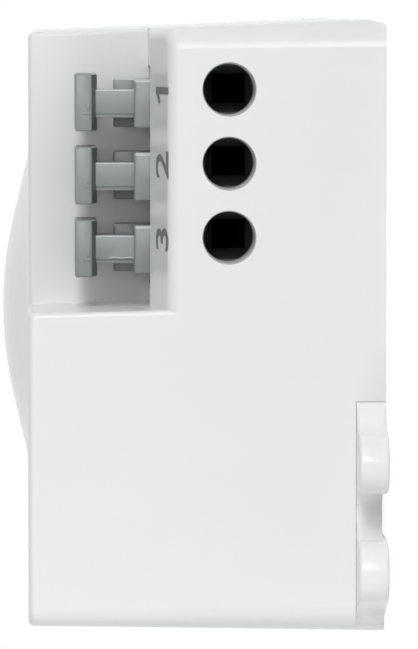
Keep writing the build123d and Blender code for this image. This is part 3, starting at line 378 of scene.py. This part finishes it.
def make_board(name, mask, track, cell_mm, turn):
    """Solder mask with tracks under it."""
    board = bpy.data.materials.new(name)
    board.use_nodes = True
    tree = board.node_tree
    shader = tree.nodes["Principled BSDF"]
    place = tree.nodes.new("ShaderNodeTexCoord")
    turned = tree.nodes.new("ShaderNodeMapping")
    turned.inputs["Rotation"].default_value = (0, 0, math.radians(turn))
    tracks = tree.nodes.new("ShaderNodeTexBrick")
    tracks.inputs["Color1"].default_value = (*mask, 1)
    tracks.inputs["Color2"].default_value = (*(c * SECOND_SHADE for c in mask), 1)
    tracks.inputs["Mortar"].default_value = (*track, 1)
    tracks.inputs["Scale"].default_value = 1.0
    tracks.inputs["Mortar Size"].default_value = TRACK_WIDTH
    tracks.inputs["Brick Width"].default_value = cell_mm * TRACK_RUN * MM
    tracks.inputs["Row Height"].default_value = cell_mm * MM
    tree.links.new(place.outputs["Object"], turned.inputs["Vector"])
    tree.links.new(turned.outputs["Vector"], tracks.inputs["Vector"])
    tree.links.new(tracks.outputs["Color"], shader.inputs["Base Color"])
    sheen = ranged(tree, noise_at(tree, BOARD_GLOSS_MM), *BOARD_GLOSS)
    tree.links.new(sheen, shader.inputs["Roughness"])
    bump = tree.nodes.new("ShaderNodeBump")
    bump.inputs["Distance"].default_value = TRACK_HEIGHT
    tree.links.new(tracks.outputs["Fac"], bump.inputs["Height"])
    tree.links.new(bump.outputs["Normal"], shader.inputs["Normal"])
    shader.inputs["Coat Weight"].default_value = LACQUER_COAT
    shader.inputs["Coat Roughness"].default_value = LACQUER_GLOSS
    return board


board_green = make_board("board_green", (0.012, 0.10, 0.035), (0.03, 0.20, 0.07), 2.4, 0)
radar_green = make_board("radar_board", (0.02, 0.13, 0.06), (0.05, 0.24, 0.10), 1.8, 90)
dress(board_green, "main_board", "upper_board")
dress(radar_green, "radar_board")

# %% [markdown]
# Small parts on the boards, in the moulding compounds and sleeves that such parts come in.

# %% Component finishes
dark_component = make_finish("dark_component", (0.022, 0.022, 0.025), shade=0.15, patch_mm=2,
                             gloss=0.52, grain_mm=0.1, grain_height_mm=0.006)
relay_black = make_finish("relay_black", (0.030, 0.031, 0.036), shade=0.10, patch_mm=5,
                          gloss=0.36, grain_mm=0.15, grain_height_mm=0.003)
film_yellow = make_finish("film_yellow", (0.62, 0.42, 0.05), shade=0.06, patch_mm=4, gloss=0.38,
                          grain_mm=0.2, grain_height_mm=0.003)
capacitor_sleeve = make_finish("capacitor_sleeve", (0.03, 0.04, 0.09), shade=0.12, patch_mm=5,
                               gloss=0.30, grain_mm=0.8, grain_height_mm=0.01)
varistor_blue = make_finish("varistor_blue", (0.04, 0.13, 0.42), shade=0.10, patch_mm=2.5,
                            gloss=0.34, grain_mm=0.9, grain_height_mm=0.05)
dress(dark_component, "light_sensor", "microcontroller", "chip_resistors", "bridge_rectifier",
      "fuse", "choke", "link_header")
dress(relay_black, "relay")
dress(film_yellow, "film_capacitor")
dress(capacitor_sleeve, "smoothing_capacitors")
dress(varistor_blue, "varistor")

# %% [markdown]
# A resistor's tan lacquer carries coloured rings that tell its value. A wave pattern would
# repeat, so the rings are made of steps: a colour ramp along the resistor's length, with the
# middle of the ramp at the resistor's middle.

# %% Resistor rings
TAN = (0.60, 0.46, 0.28)
BAND_COLOURS = [(0.35, 0.03, 0.02), (0.02, 0.02, 0.02), (0.30, 0.10, 0.02), (0.55, 0.35, 0.06)]
FIRST_BAND = 0.2
BAND_STEP = 0.15
BAND_WIDTH = 0.06
RAMP_END = 0.98
resistor_low, resistor_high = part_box("resistors")
resistor_tan = make_finish("resistor_tan", TAN, shade=0.05, patch_mm=1.5,
                           gloss=0.32, grain_mm=0.5, grain_height_mm=0.01)
tree = resistor_tan.node_tree
place = tree.nodes.new("ShaderNodeTexCoord")
split = tree.nodes.new("ShaderNodeSeparateXYZ")
along = tree.nodes.new("ShaderNodeMapRange")
along.inputs["From Min"].default_value = resistor_low.y
along.inputs["From Max"].default_value = resistor_high.y
rings = tree.nodes.new("ShaderNodeValToRGB")
rings.color_ramp.interpolation = "CONSTANT"
steps = rings.color_ramp.elements
steps[0].position = 0.0
steps[0].color = (*TAN, 1)
steps[1].position = RAMP_END
steps[1].color = (*TAN, 1)
for number, band in enumerate(BAND_COLOURS):
    start = FIRST_BAND + BAND_STEP * number
    ring = steps.new(start)
    ring.color = (*band, 1)
    gap = steps.new(start + BAND_WIDTH)
    gap.color = (*TAN, 1)
tree.links.new(place.outputs["Object"], split.inputs["Vector"])
tree.links.new(split.outputs["Y"], along.inputs["Value"])
tree.links.new(along.outputs["Result"], rings.inputs["Fac"])
tree.links.new(rings.outputs["Color"], tree.nodes["Principled BSDF"].inputs["Base Color"])
dress(resistor_tan, "resistors")

# %% [markdown]
# The light window is a clear plastic rod. Clear plastic is a glass shader with a plastic's
# bend of light, and a slight frost in its gloss hides the electronics behind it.

# %% Clear window
CLEARNESS = 0.9
PLASTIC_IOR = 1.49
clear_window = make_finish("clear_window", (0.93, 0.95, 0.96), shade=0.01, patch_mm=3, gloss=0.16,
                           gloss_swing=0.05, grain_mm=0.3, grain_height_mm=0.004)
window_shader = clear_window.node_tree.nodes["Principled BSDF"]
window_shader.inputs["Transmission Weight"].default_value = CLEARNESS
window_shader.inputs["IOR"].default_value = PLASTIC_IOR
dress(clear_window, "light_pipe")

# %% [markdown]
# Modelling starts here, on the pieces whose forms are softer than the frame's. An operator acts on
# all that is selected, so one helper selects a single piece. Another ends each piece: it puts the
# piece's place into its mesh, gives it its finish, and tells the frame which body it rides on.

# %% Helpers to pick and to finish a piece
SMOOTH_ANGLE = math.radians(35)


def select_only(piece):
    """Selects one piece and makes it the active one."""
    bpy.ops.object.select_all(action="DESELECT")
    piece.select_set(True)
    bpy.context.view_layer.objects.active = piece


def finished(piece, finish, body):
    """Puts the piece's place into its mesh, and hands it to the frame."""
    select_only(piece)
    bpy.ops.object.transform_apply(location=True, rotation=True, scale=True)
    piece.data.materials.clear()
    piece.data.materials.append(finish)
    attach(piece, body)
    print(piece.name, "faces:", len(piece.data.polygons))


# %% [markdown]
# Small mouldings start as blocks: a cube is added at its size, and its edges are bevelled in
# edit mode. A block can be cut along a plane, and closed blocks are united into one skin with
# a boolean modifier, which leaves no faces inside.

# %% Helpers for blocks


def round_edges(piece, radius, steps=3):
    """Rounds every edge of a piece by a radius in millimetres."""
    select_only(piece)
    bpy.ops.object.mode_set(mode="EDIT")
    bpy.ops.mesh.select_all(action="SELECT")
    bpy.ops.mesh.bevel(offset=radius * MM, segments=steps, affect="EDGES")
    bpy.ops.object.mode_set(mode="OBJECT")


def block(low, high, radius):
    """A box between two corners in millimetres, with its edges rounded if there is a radius."""
    low, high = Vector(low), Vector(high)
    bpy.ops.mesh.primitive_cube_add(size=1, location=(low + high) / 2 * MM)
    box = bpy.context.object
    box.scale = (high - low) * MM
    bpy.ops.object.transform_apply(location=True, rotation=True, scale=True)
    if radius:
        round_edges(box, radius)
    return box


def slice_off(piece, point, outward):
    """Cuts off what lies past a plane, given in millimetres, and closes the cut."""
    select_only(piece)
    bpy.ops.object.mode_set(mode="EDIT")
    bpy.ops.mesh.select_all(action="SELECT")
    bpy.ops.mesh.bisect(
        plane_co=Vector(point) * MM, plane_no=outward, use_fill=True, clear_outer=True
    )
    bpy.ops.object.mode_set(mode="OBJECT")


def unite(main, others):
    """Joins closed pieces into one skin and removes the pieces that went in."""
    select_only(main)
    for other in others:
        joint = main.modifiers.new("unite", "BOOLEAN")
        joint.operation = "UNION"
        joint.solver = "EXACT"
        joint.object = other
        bpy.ops.object.modifier_apply(modifier=joint.name)
        bpy.data.objects.remove(other)
    return main


# %% [markdown]
# What repeats is modelled once, and each copy has a mesh of its own. A part of the frame can be
# copied too, to be refined. Its mesh is loose triangles, so the copy's points are merged and
# its flat faces made whole again, or a bevel would find edges where the part has none.

# %% Helpers for copies
SAME_PLACE = 0.001 * MM
SAME_PLANE = math.radians(1.0)


def own_copy(piece, name, shift):
    """A copy of a piece with a mesh of its own, moved by millimetres."""
    copy = piece.copy()
    copy.data = piece.data.copy()
    copy.name = name
    bpy.context.collection.objects.link(copy)
    copy.location = Vector(shift) * MM
    return copy


def merge_points(piece):
    """Merges points that lie on one another, so that the skin is closed."""
    select_only(piece)
    bpy.ops.object.mode_set(mode="EDIT")
    bpy.ops.mesh.select_all(action="SELECT")
    bpy.ops.mesh.remove_doubles(threshold=SAME_PLACE)
    bpy.ops.mesh.dissolve_degenerate(threshold=SAME_PLACE)
    bpy.ops.object.mode_set(mode="OBJECT")


def merged_copy(part, name):
    """A frame part's mesh as a piece of its own, its points merged and its flat faces whole."""
    copy = own_copy(nodes[part], name, (0, 0, 0))
    for label in list(copy.keys()):
        del copy[label]
    copy.parent = None
    select_only(copy)
    bpy.ops.object.mode_set(mode="EDIT")
    bpy.ops.mesh.select_all(action="SELECT")
    bpy.ops.mesh.remove_doubles(threshold=SAME_PLACE)
    bpy.ops.mesh.dissolve_limited(angle_limit=SAME_PLANE)
    bpy.ops.object.mode_set(mode="OBJECT")
    return copy


# %% [markdown]
# Release buttons. Each is one moulding: a thick head to press, cut back in a slope below its
# face, a neck, a broad collar that slides in the terminal, a rear guide and a nose that pushes
# the spring. All their edges are slightly rounded, and that is what draws their outline in
# the picture, so the plain solids of the frame are replaced. A button could be drawn as one
# outline and extruded, but its steps go both ways, so it is built of blocks. Two tiny blocks
# on the head are what moulding leaves: a line of flash and the stub of the gate.

# %% Release buttons
BUTTON_FRONT_Y = -34.6
BUTTON_REAR_Y = -28.7
BOTTOM_Z = 14.4
HEAD_X = (-1.87, 2.07)
HEAD_REAR_Y = -29.1
HEAD_TOP_Z = 21.0
HEAD_FACE_Z = 19.84
HEAD_RADIUS = 0.15
UNDERCUT_Z = 19.46
UNDERCUT_SLOPE = (0.30, 0.95)
NECK_STEP_X = -0.72
NECK_HALF = 0.965
NECK_FRONT_Y = -33.7
NECK_REAR_Y = HEAD_REAR_Y - 0.1
NECK_LOW_Z = 16.0
NECK_TOP_Z = 20.3
NECK_RADIUS = 0.10
LEDGE_END_X = 0.2
LEDGE_FRONT_Y = NECK_FRONT_Y + 0.12
LEDGE_REAR_Y = HEAD_REAR_Y - 0.2
LEDGE_TOP_Z = 20.2
LEDGE_RADIUS = 0.07
COLLAR_HALF = 1.67
COLLAR_TOP_Z = 16.95
COLLAR_RADIUS = 0.2
GUIDE_INSET = 0.01
GUIDE_FRONT_Y = -30.1
GUIDE_LOW_Z = BOTTOM_Z + 0.2
GUIDE_TOP_Z = 18.3
GUIDE_RADIUS = 0.08
NOSE_X = (-1.15, -0.45)
NOSE_FRONT_Y = -29.7
NOSE_REAR_Y = BUTTON_REAR_Y - 0.02
NOSE_Z = (11.6, 15.5)
NOSE_RADIUS = 0.06
MARK_SUNK = 0.1
FLASH_X = (-0.73, -0.58)
FLASH_Z = (19.88, 20.42)
FLASH_STANDS = 0.07
FLASH_RADIUS = 0.02
GATE_X = (-0.42, -0.02)
GATE_Z = (19.98, 20.16)
GATE_STANDS = 0.09
GATE_RADIUS = 0.04

head = block((HEAD_X[0], BUTTON_FRONT_Y, UNDERCUT_Z), (HEAD_X[1], HEAD_REAR_Y, HEAD_TOP_Z), 0)
slice_off(head, (0, BUTTON_FRONT_Y, HEAD_FACE_Z), (0, -UNDERCUT_SLOPE[0], -UNDERCUT_SLOPE[1]))
round_edges(head, HEAD_RADIUS)
neck = block(
    (NECK_STEP_X, NECK_FRONT_Y, NECK_LOW_Z), (NECK_HALF, NECK_REAR_Y, NECK_TOP_Z), NECK_RADIUS
)
neck_ledge = block(
    (-NECK_HALF, LEDGE_FRONT_Y, NECK_LOW_Z), (LEDGE_END_X, LEDGE_REAR_Y, LEDGE_TOP_Z), LEDGE_RADIUS
)
collar = block(
    (-COLLAR_HALF, BUTTON_FRONT_Y, BOTTOM_Z),
    (COLLAR_HALF, BUTTON_REAR_Y, COLLAR_TOP_Z),
    COLLAR_RADIUS,
)
rear_guide = block(
    (GUIDE_INSET - COLLAR_HALF, GUIDE_FRONT_Y, GUIDE_LOW_Z),
    (COLLAR_HALF - GUIDE_INSET, BUTTON_REAR_Y - GUIDE_INSET, GUIDE_TOP_Z),
    GUIDE_RADIUS,
)
nose = block(
    (NOSE_X[0], NOSE_FRONT_Y, NOSE_Z[0]), (NOSE_X[1], NOSE_REAR_Y, NOSE_Z[1]), NOSE_RADIUS
)
flash_line = block(
    (FLASH_X[0], BUTTON_FRONT_Y - FLASH_STANDS, FLASH_Z[0]),
    (FLASH_X[1], BUTTON_FRONT_Y + MARK_SUNK, FLASH_Z[1]),
    FLASH_RADIUS,
)
gate_stub = block(
    (GATE_X[0], BUTTON_FRONT_Y - GATE_STANDS, GATE_Z[0]),
    (GATE_X[1], BUTTON_FRONT_Y + MARK_SUNK, GATE_Z[1]),
    GATE_RADIUS,
)
button = unite(collar, [neck, neck_ledge, head, rear_guide, nose, flash_line, gate_stub])
bpy.ops.object.shade_smooth_by_angle(angle=SMOOTH_ANGLE)
button.name = "button_pattern"
print("button faces:", len(button.data.polygons))

# %% [markdown]
# Painted light and shade on the buttons' skin. The upper edges are painted lighter, a painted
# highlight where light from above catches them, and the slope under a head's face is painted
# darker, a painted shade. Such a difference is kept in the mesh as an attribute, one value a face,
# chosen by which way the face looks and where it lies. The finish then scales its colour by one
# plus that value.

# %% Painted highlight and shade on the buttons
# Painted highlight for the upper edges and painted shade for the slope under a head's face.
PAINTED_EDGE_HIGHLIGHT = 1.1
PAINTED_SLOPE_SHADE = -0.50
SLOPE_LOW_Z = UNDERCUT_Z - 0.2
FACES_DOWN = -0.8
EDGE_TILT = (0.25, 0.97)
FACES_FRONT = -0.2
painted_light = button.data.attributes.new("painted_light", "FLOAT", "FACE")
for face in button.data.polygons:
    facing, height = face.normal, face.center.z / MM
    # The slope under the head gets painted shade, upper edges facing front get a painted highlight.
    if facing.z < FACES_DOWN and SLOPE_LOW_Z < height < HEAD_FACE_Z:
        painted_light.data[face.index].value = PAINTED_SLOPE_SHADE
    elif EDGE_TILT[0] < facing.x < EDGE_TILT[1] and facing.y < FACES_FRONT and height < HEAD_FACE_Z:
        painted_light.data[face.index].value = PAINTED_EDGE_HIGHLIGHT
# The button colour is scaled by the painted light and shade kept in the attribute.
tree = button_grey.node_tree
shader = tree.nodes["Principled BSDF"]
plain_colour = shader.inputs["Base Color"].links[0].from_socket
painted_light_value = tree.nodes.new("ShaderNodeAttribute")
painted_light_value.attribute_name = "painted_light"
factor = tree.nodes.new("ShaderNodeMath")
factor.operation = "ADD"
factor.inputs[1].default_value = 1.0
scaled = tree.nodes.new("ShaderNodeVectorMath")
scaled.operation = "SCALE"
tree.links.new(painted_light_value.outputs["Fac"], factor.inputs[0])
tree.links.new(plain_colour, scaled.inputs[0])
tree.links.new(factor.outputs[0], scaled.inputs["Scale"])
tree.links.new(scaled.outputs[0], shader.inputs["Base Color"])
print("faces with a tone:", sum(1 for value in painted_light.data if value.value))

# %% [markdown]
# A line of flash runs along part of the third button's neck, where the mould closed badly. It is a
# thin block, cut into short lengths and set off to either side in a wave, and its colour carries
# the same painted highlight as the edges.

# %% Wavy flash
BEAD_LOW = Vector((-0.59, NECK_FRONT_Y - 0.04, COLLAR_TOP_Z - 0.05))
BEAD_HIGH = Vector((-0.52, NECK_FRONT_Y + 0.05, 18.65))
BEAD_CUTS = 15
WAVE_HEIGHT = 0.032
WAVE_LENGTH = 1.0


def wavy_flash(x):
    """A thin bead along the neck of the button at x, in millimetres, painted with the highlight of
    an edge.
    """
    bead = block(BEAD_LOW, BEAD_HIGH, 0)
    bpy.ops.object.mode_set(mode="EDIT")
    bpy.ops.mesh.select_all(action="SELECT")
    bpy.ops.mesh.subdivide(number_cuts=BEAD_CUTS)
    bpy.ops.object.mode_set(mode="OBJECT")
    for point in bead.data.vertices:
        turn = point.co.z / MM / WAVE_LENGTH * math.tau
        point.co.x += (x + WAVE_HEIGHT * math.sin(turn)) * MM
    # Every face of the bead gets the painted highlight of an edge.
    bead_painted_light = bead.data.attributes.new("painted_light", "FLOAT", "FACE")
    for face in bead.data.polygons:
        bead_painted_light.data[face.index].value = PAINTED_EDGE_HIGHLIGHT
    return bead


# %% [markdown]
# The three buttons are copies of one, as the mould's cavities are. The third also gets its line
# of flash. Each rides on its own body and replaces the frame's plain solid, which stays in the
# motion model.

# %% Button copies
BUTTON_X = [15.0, 10.0, 5.0]
for number, x in enumerate(BUTTON_X, start=1):
    copy = own_copy(button, f"button_moulding_{number}", (x, 0, 0))
    if number == 3:
        copy = unite(copy, [wavy_flash(x)])
    finished(copy, button_grey, f"button_{number}")
    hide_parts(f"release_button_{number}")
bpy.data.objects.remove(button)

# %% [markdown]
# Pole numbers. On the sloping shelf each pole has its mark. Plain numbers stand there, read
# from the front, in a grey print that stands a hair proud. Text objects make good figures:
# each is added with a little thickness, made a mesh, scaled to its height, and its points are
# merged, because text comes with open seams. The built-in font's 1 is a bare stroke, so it
# gets a flag, a short slanted bar that is cut off level with the stroke's top and united with
# it. Then the figure is laid on the slope at its place.

# %% Shelf numbers
SHELF_FRONT = Vector((0, -40.0, 14.5))
SHELF_BACK = Vector((0, -35.5, 15.86))
SHELF_TILT = math.atan2(SHELF_BACK.z - SHELF_FRONT.z, SHELF_BACK.y - SHELF_FRONT.y)
NUMBER_HEIGHT = 2.6
NUMBER_WIDEN = 1.12
NUMBER_X = [15.95, 10.92, 5.87]
NUMBER_ALONG = 0.44
NUMBER_RISE = 0.03
FIGURE_BOLDNESS = 0.008
FIGURE_DEPTH = 0.012
FIGURE_CURVE_STEPS = 6
FLAG_LENGTH = 1.0
FLAG_WIDTH = 0.40
FLAG_DROP = 0.62
FLAG_SHORT = 0.001
FLAG_TURN = math.radians(35)
number_grey = make_finish("number_grey", (0.20, 0.195, 0.195), shade=0.12, patch_mm=0.5,
                          gloss=0.5, grain_mm=0.1, grain_height_mm=0.003)


def with_flag(stroke):
    """Turns a bare upright stroke into a 1 with a flag at its top left."""
    low = Vector((-FLAG_LENGTH, -FLAG_WIDTH / 2, -NUMBER_RISE))
    high = Vector((FLAG_WIDTH, FLAG_WIDTH / 2, NUMBER_RISE))
    flag = block(low, high, 0)
    flag.rotation_euler = (0, 0, FLAG_TURN)
    flag.location = Vector((0, NUMBER_HEIGHT / 2 - FLAG_WIDTH * FLAG_DROP, 0)) * MM
    bpy.ops.object.transform_apply(location=True, rotation=True, scale=True)
    slice_off(flag, (0, NUMBER_HEIGHT / 2 - FLAG_SHORT, 0), (0, 1, 0))
    slice_off(flag, (FLAG_WIDTH / 4, 0, 0), (1, 0, 0))
    return unite(stroke, [flag])


for number, x in enumerate(NUMBER_X, start=1):
    bpy.ops.object.text_add(location=(0, 0, 0))
    figure = bpy.context.object
    figure.name = f"pole_number_{number}"
    figure.data.body = str(number)
    figure.data.size = 1.0
    figure.data.offset = FIGURE_BOLDNESS
    figure.data.extrude = FIGURE_DEPTH
    figure.data.resolution_u = FIGURE_CURVE_STEPS
    bpy.ops.object.convert(target="MESH")
    xs = [v.co.x for v in figure.data.vertices]
    ys = [v.co.y for v in figure.data.vertices]
    middle = Vector(((min(xs) + max(xs)) / 2, (min(ys) + max(ys)) / 2, 0))
    figure.data.transform(Matrix.Translation(-middle))
    size = NUMBER_HEIGHT / (max(ys) - min(ys)) * MM
    figure.scale = (size * NUMBER_WIDEN, size, NUMBER_RISE * MM / FIGURE_DEPTH)
    bpy.ops.object.transform_apply(location=True, rotation=True, scale=True)
    merge_points(figure)
    if number == 1:
        figure = with_flag(figure)
        merge_points(figure)
    figure.rotation_euler = (SHELF_TILT, 0, 0)
    figure.location = (SHELF_FRONT.lerp(SHELF_BACK, NUMBER_ALONG) + Vector((x, 0, 0))) * MM
    finished(figure, number_grey, "case")

# %% [markdown]
# Dial scales. Round each knob a fine printed scale shows how far it turns: eleven strokes over
# the knob's whole sweep, with the gap towards the terminal. One stroke is a thin block with
# soft edges. It is copied round the dial's middle, the strokes are joined into one piece, and
# that piece is copied to each knob's place, which comes from the frame.

# %% Dial scales
SCALE_STROKES = 11
SCALE_SWEEP = math.radians(235)
STROKE_LOW = Vector((-0.11, 4.15, 24.18))
STROKE_HIGH = Vector((0.11, 4.65, 24.22))
STROKE_RADIUS = 0.008
strokes = []
for number in range(SCALE_STROKES):
    stroke = block(STROKE_LOW, STROKE_HIGH, STROKE_RADIUS)
    stroke.rotation_euler.z = SCALE_SWEEP * (number / (SCALE_STROKES - 1) - 0.5)
    strokes.append(stroke)
bpy.ops.object.select_all(action="DESELECT")
for stroke in strokes:
    stroke.select_set(True)
bpy.context.view_layer.objects.active = strokes[0]
bpy.ops.object.join()
scale_pattern = bpy.context.object
bpy.ops.object.transform_apply(location=True, rotation=True, scale=True)
for knob in ("range_knob", "time_knob", "light_knob"):
    knob_low, knob_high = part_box(knob)
    middle = (knob_low + knob_high) / 2 / MM
    dial_scale = own_copy(scale_pattern, knob.replace("knob", "scale"), (middle.x, middle.y, 0))
    finished(dial_scale, number_grey, "case")
bpy.data.objects.remove(scale_pattern)

# %% [markdown]
# The lugs' edges. Moulded plastic has no knife edges, and on the lugs, nearest to the camera,
# the rounded edge catches a bright line. The frame's plate has the right outline but sharp
# edges, so a copy is merged, its flat faces are made whole again, and only the edges of the
# lugs that stand out of the case are picked, by their place, and bevelled in edit mode. The
# normals are then weighted by area, so the wide faces shade flat and the bright line runs
# across a lobe's whole width.

# %% Plate with soft lugs
LUG_FROM_Y = 40.15
PLATE_TOP_Z = 2.0
TOP_RADIUS = 0.18
UNDER_RADIUS = 0.22
LUG_EDGE_STEPS = 4
SAME_HEIGHT = 0.01
plate = merged_copy("base_plate", "plate_moulding")
bpy.ops.object.mode_set(mode="EDIT")


def pick_lug_edges(piece, height_mm):
    """Selects the edges at one height that stand out of the case's ends."""
    bpy.ops.mesh.select_mode(type="EDGE")
    bpy.ops.mesh.select_all(action="DESELECT")
    bpy.ops.object.mode_set(mode="OBJECT")
    mesh = piece.data
    count = 0
    for edge in mesh.edges:
        ends = [mesh.vertices[v].co / MM for v in edge.vertices]
        if all(abs(p.y) > LUG_FROM_Y and abs(p.z - height_mm) < SAME_HEIGHT for p in ends):
            edge.select = True
            count += 1
    bpy.ops.object.mode_set(mode="EDIT")
    return count


print("edges to soften on top:", pick_lug_edges(plate, PLATE_TOP_Z))
bpy.ops.mesh.bevel(offset=TOP_RADIUS * MM, segments=LUG_EDGE_STEPS, affect="EDGES")
print("edges to soften below:", pick_lug_edges(plate, 0.0))
bpy.ops.mesh.bevel(offset=UNDER_RADIUS * MM, segments=LUG_EDGE_STEPS, affect="EDGES")
bpy.ops.object.mode_set(mode="OBJECT")
bpy.ops.object.shade_smooth_by_angle(angle=SMOOTH_ANGLE)
evened = plate.modifiers.new("evened", "WEIGHTED_NORMAL")
evened.keep_sharp = True
bpy.ops.object.modifier_apply(modifier=evened.name)
finished(plate, plate_white, "case")
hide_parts("base_plate")

# %% [markdown]
# Clamp springs. A leaf bends down when its button is pressed, because the button's nose pushes its
# folded tip. Each of the frame's springs is copied, the copy's points are merged and its cut edges
# are rounded as a stamping's are, and the copy rides on the case in place of the frame's spring,
# which is hidden.

# %% Springs with rounded edges
CUT_EDGE_RADIUS = 0.03
for number in (1, 2, 3):
    spring = merged_copy(f"clamp_spring_{number}", f"clamp_leaf_{number}")
    round_edges(spring, CUT_EDGE_RADIUS, 2)
    bpy.ops.object.shade_smooth_by_angle(angle=SMOOTH_ANGLE)
    finished(spring, spring_steel, "case")
    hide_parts(f"clamp_spring_{number}")
    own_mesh(spring)
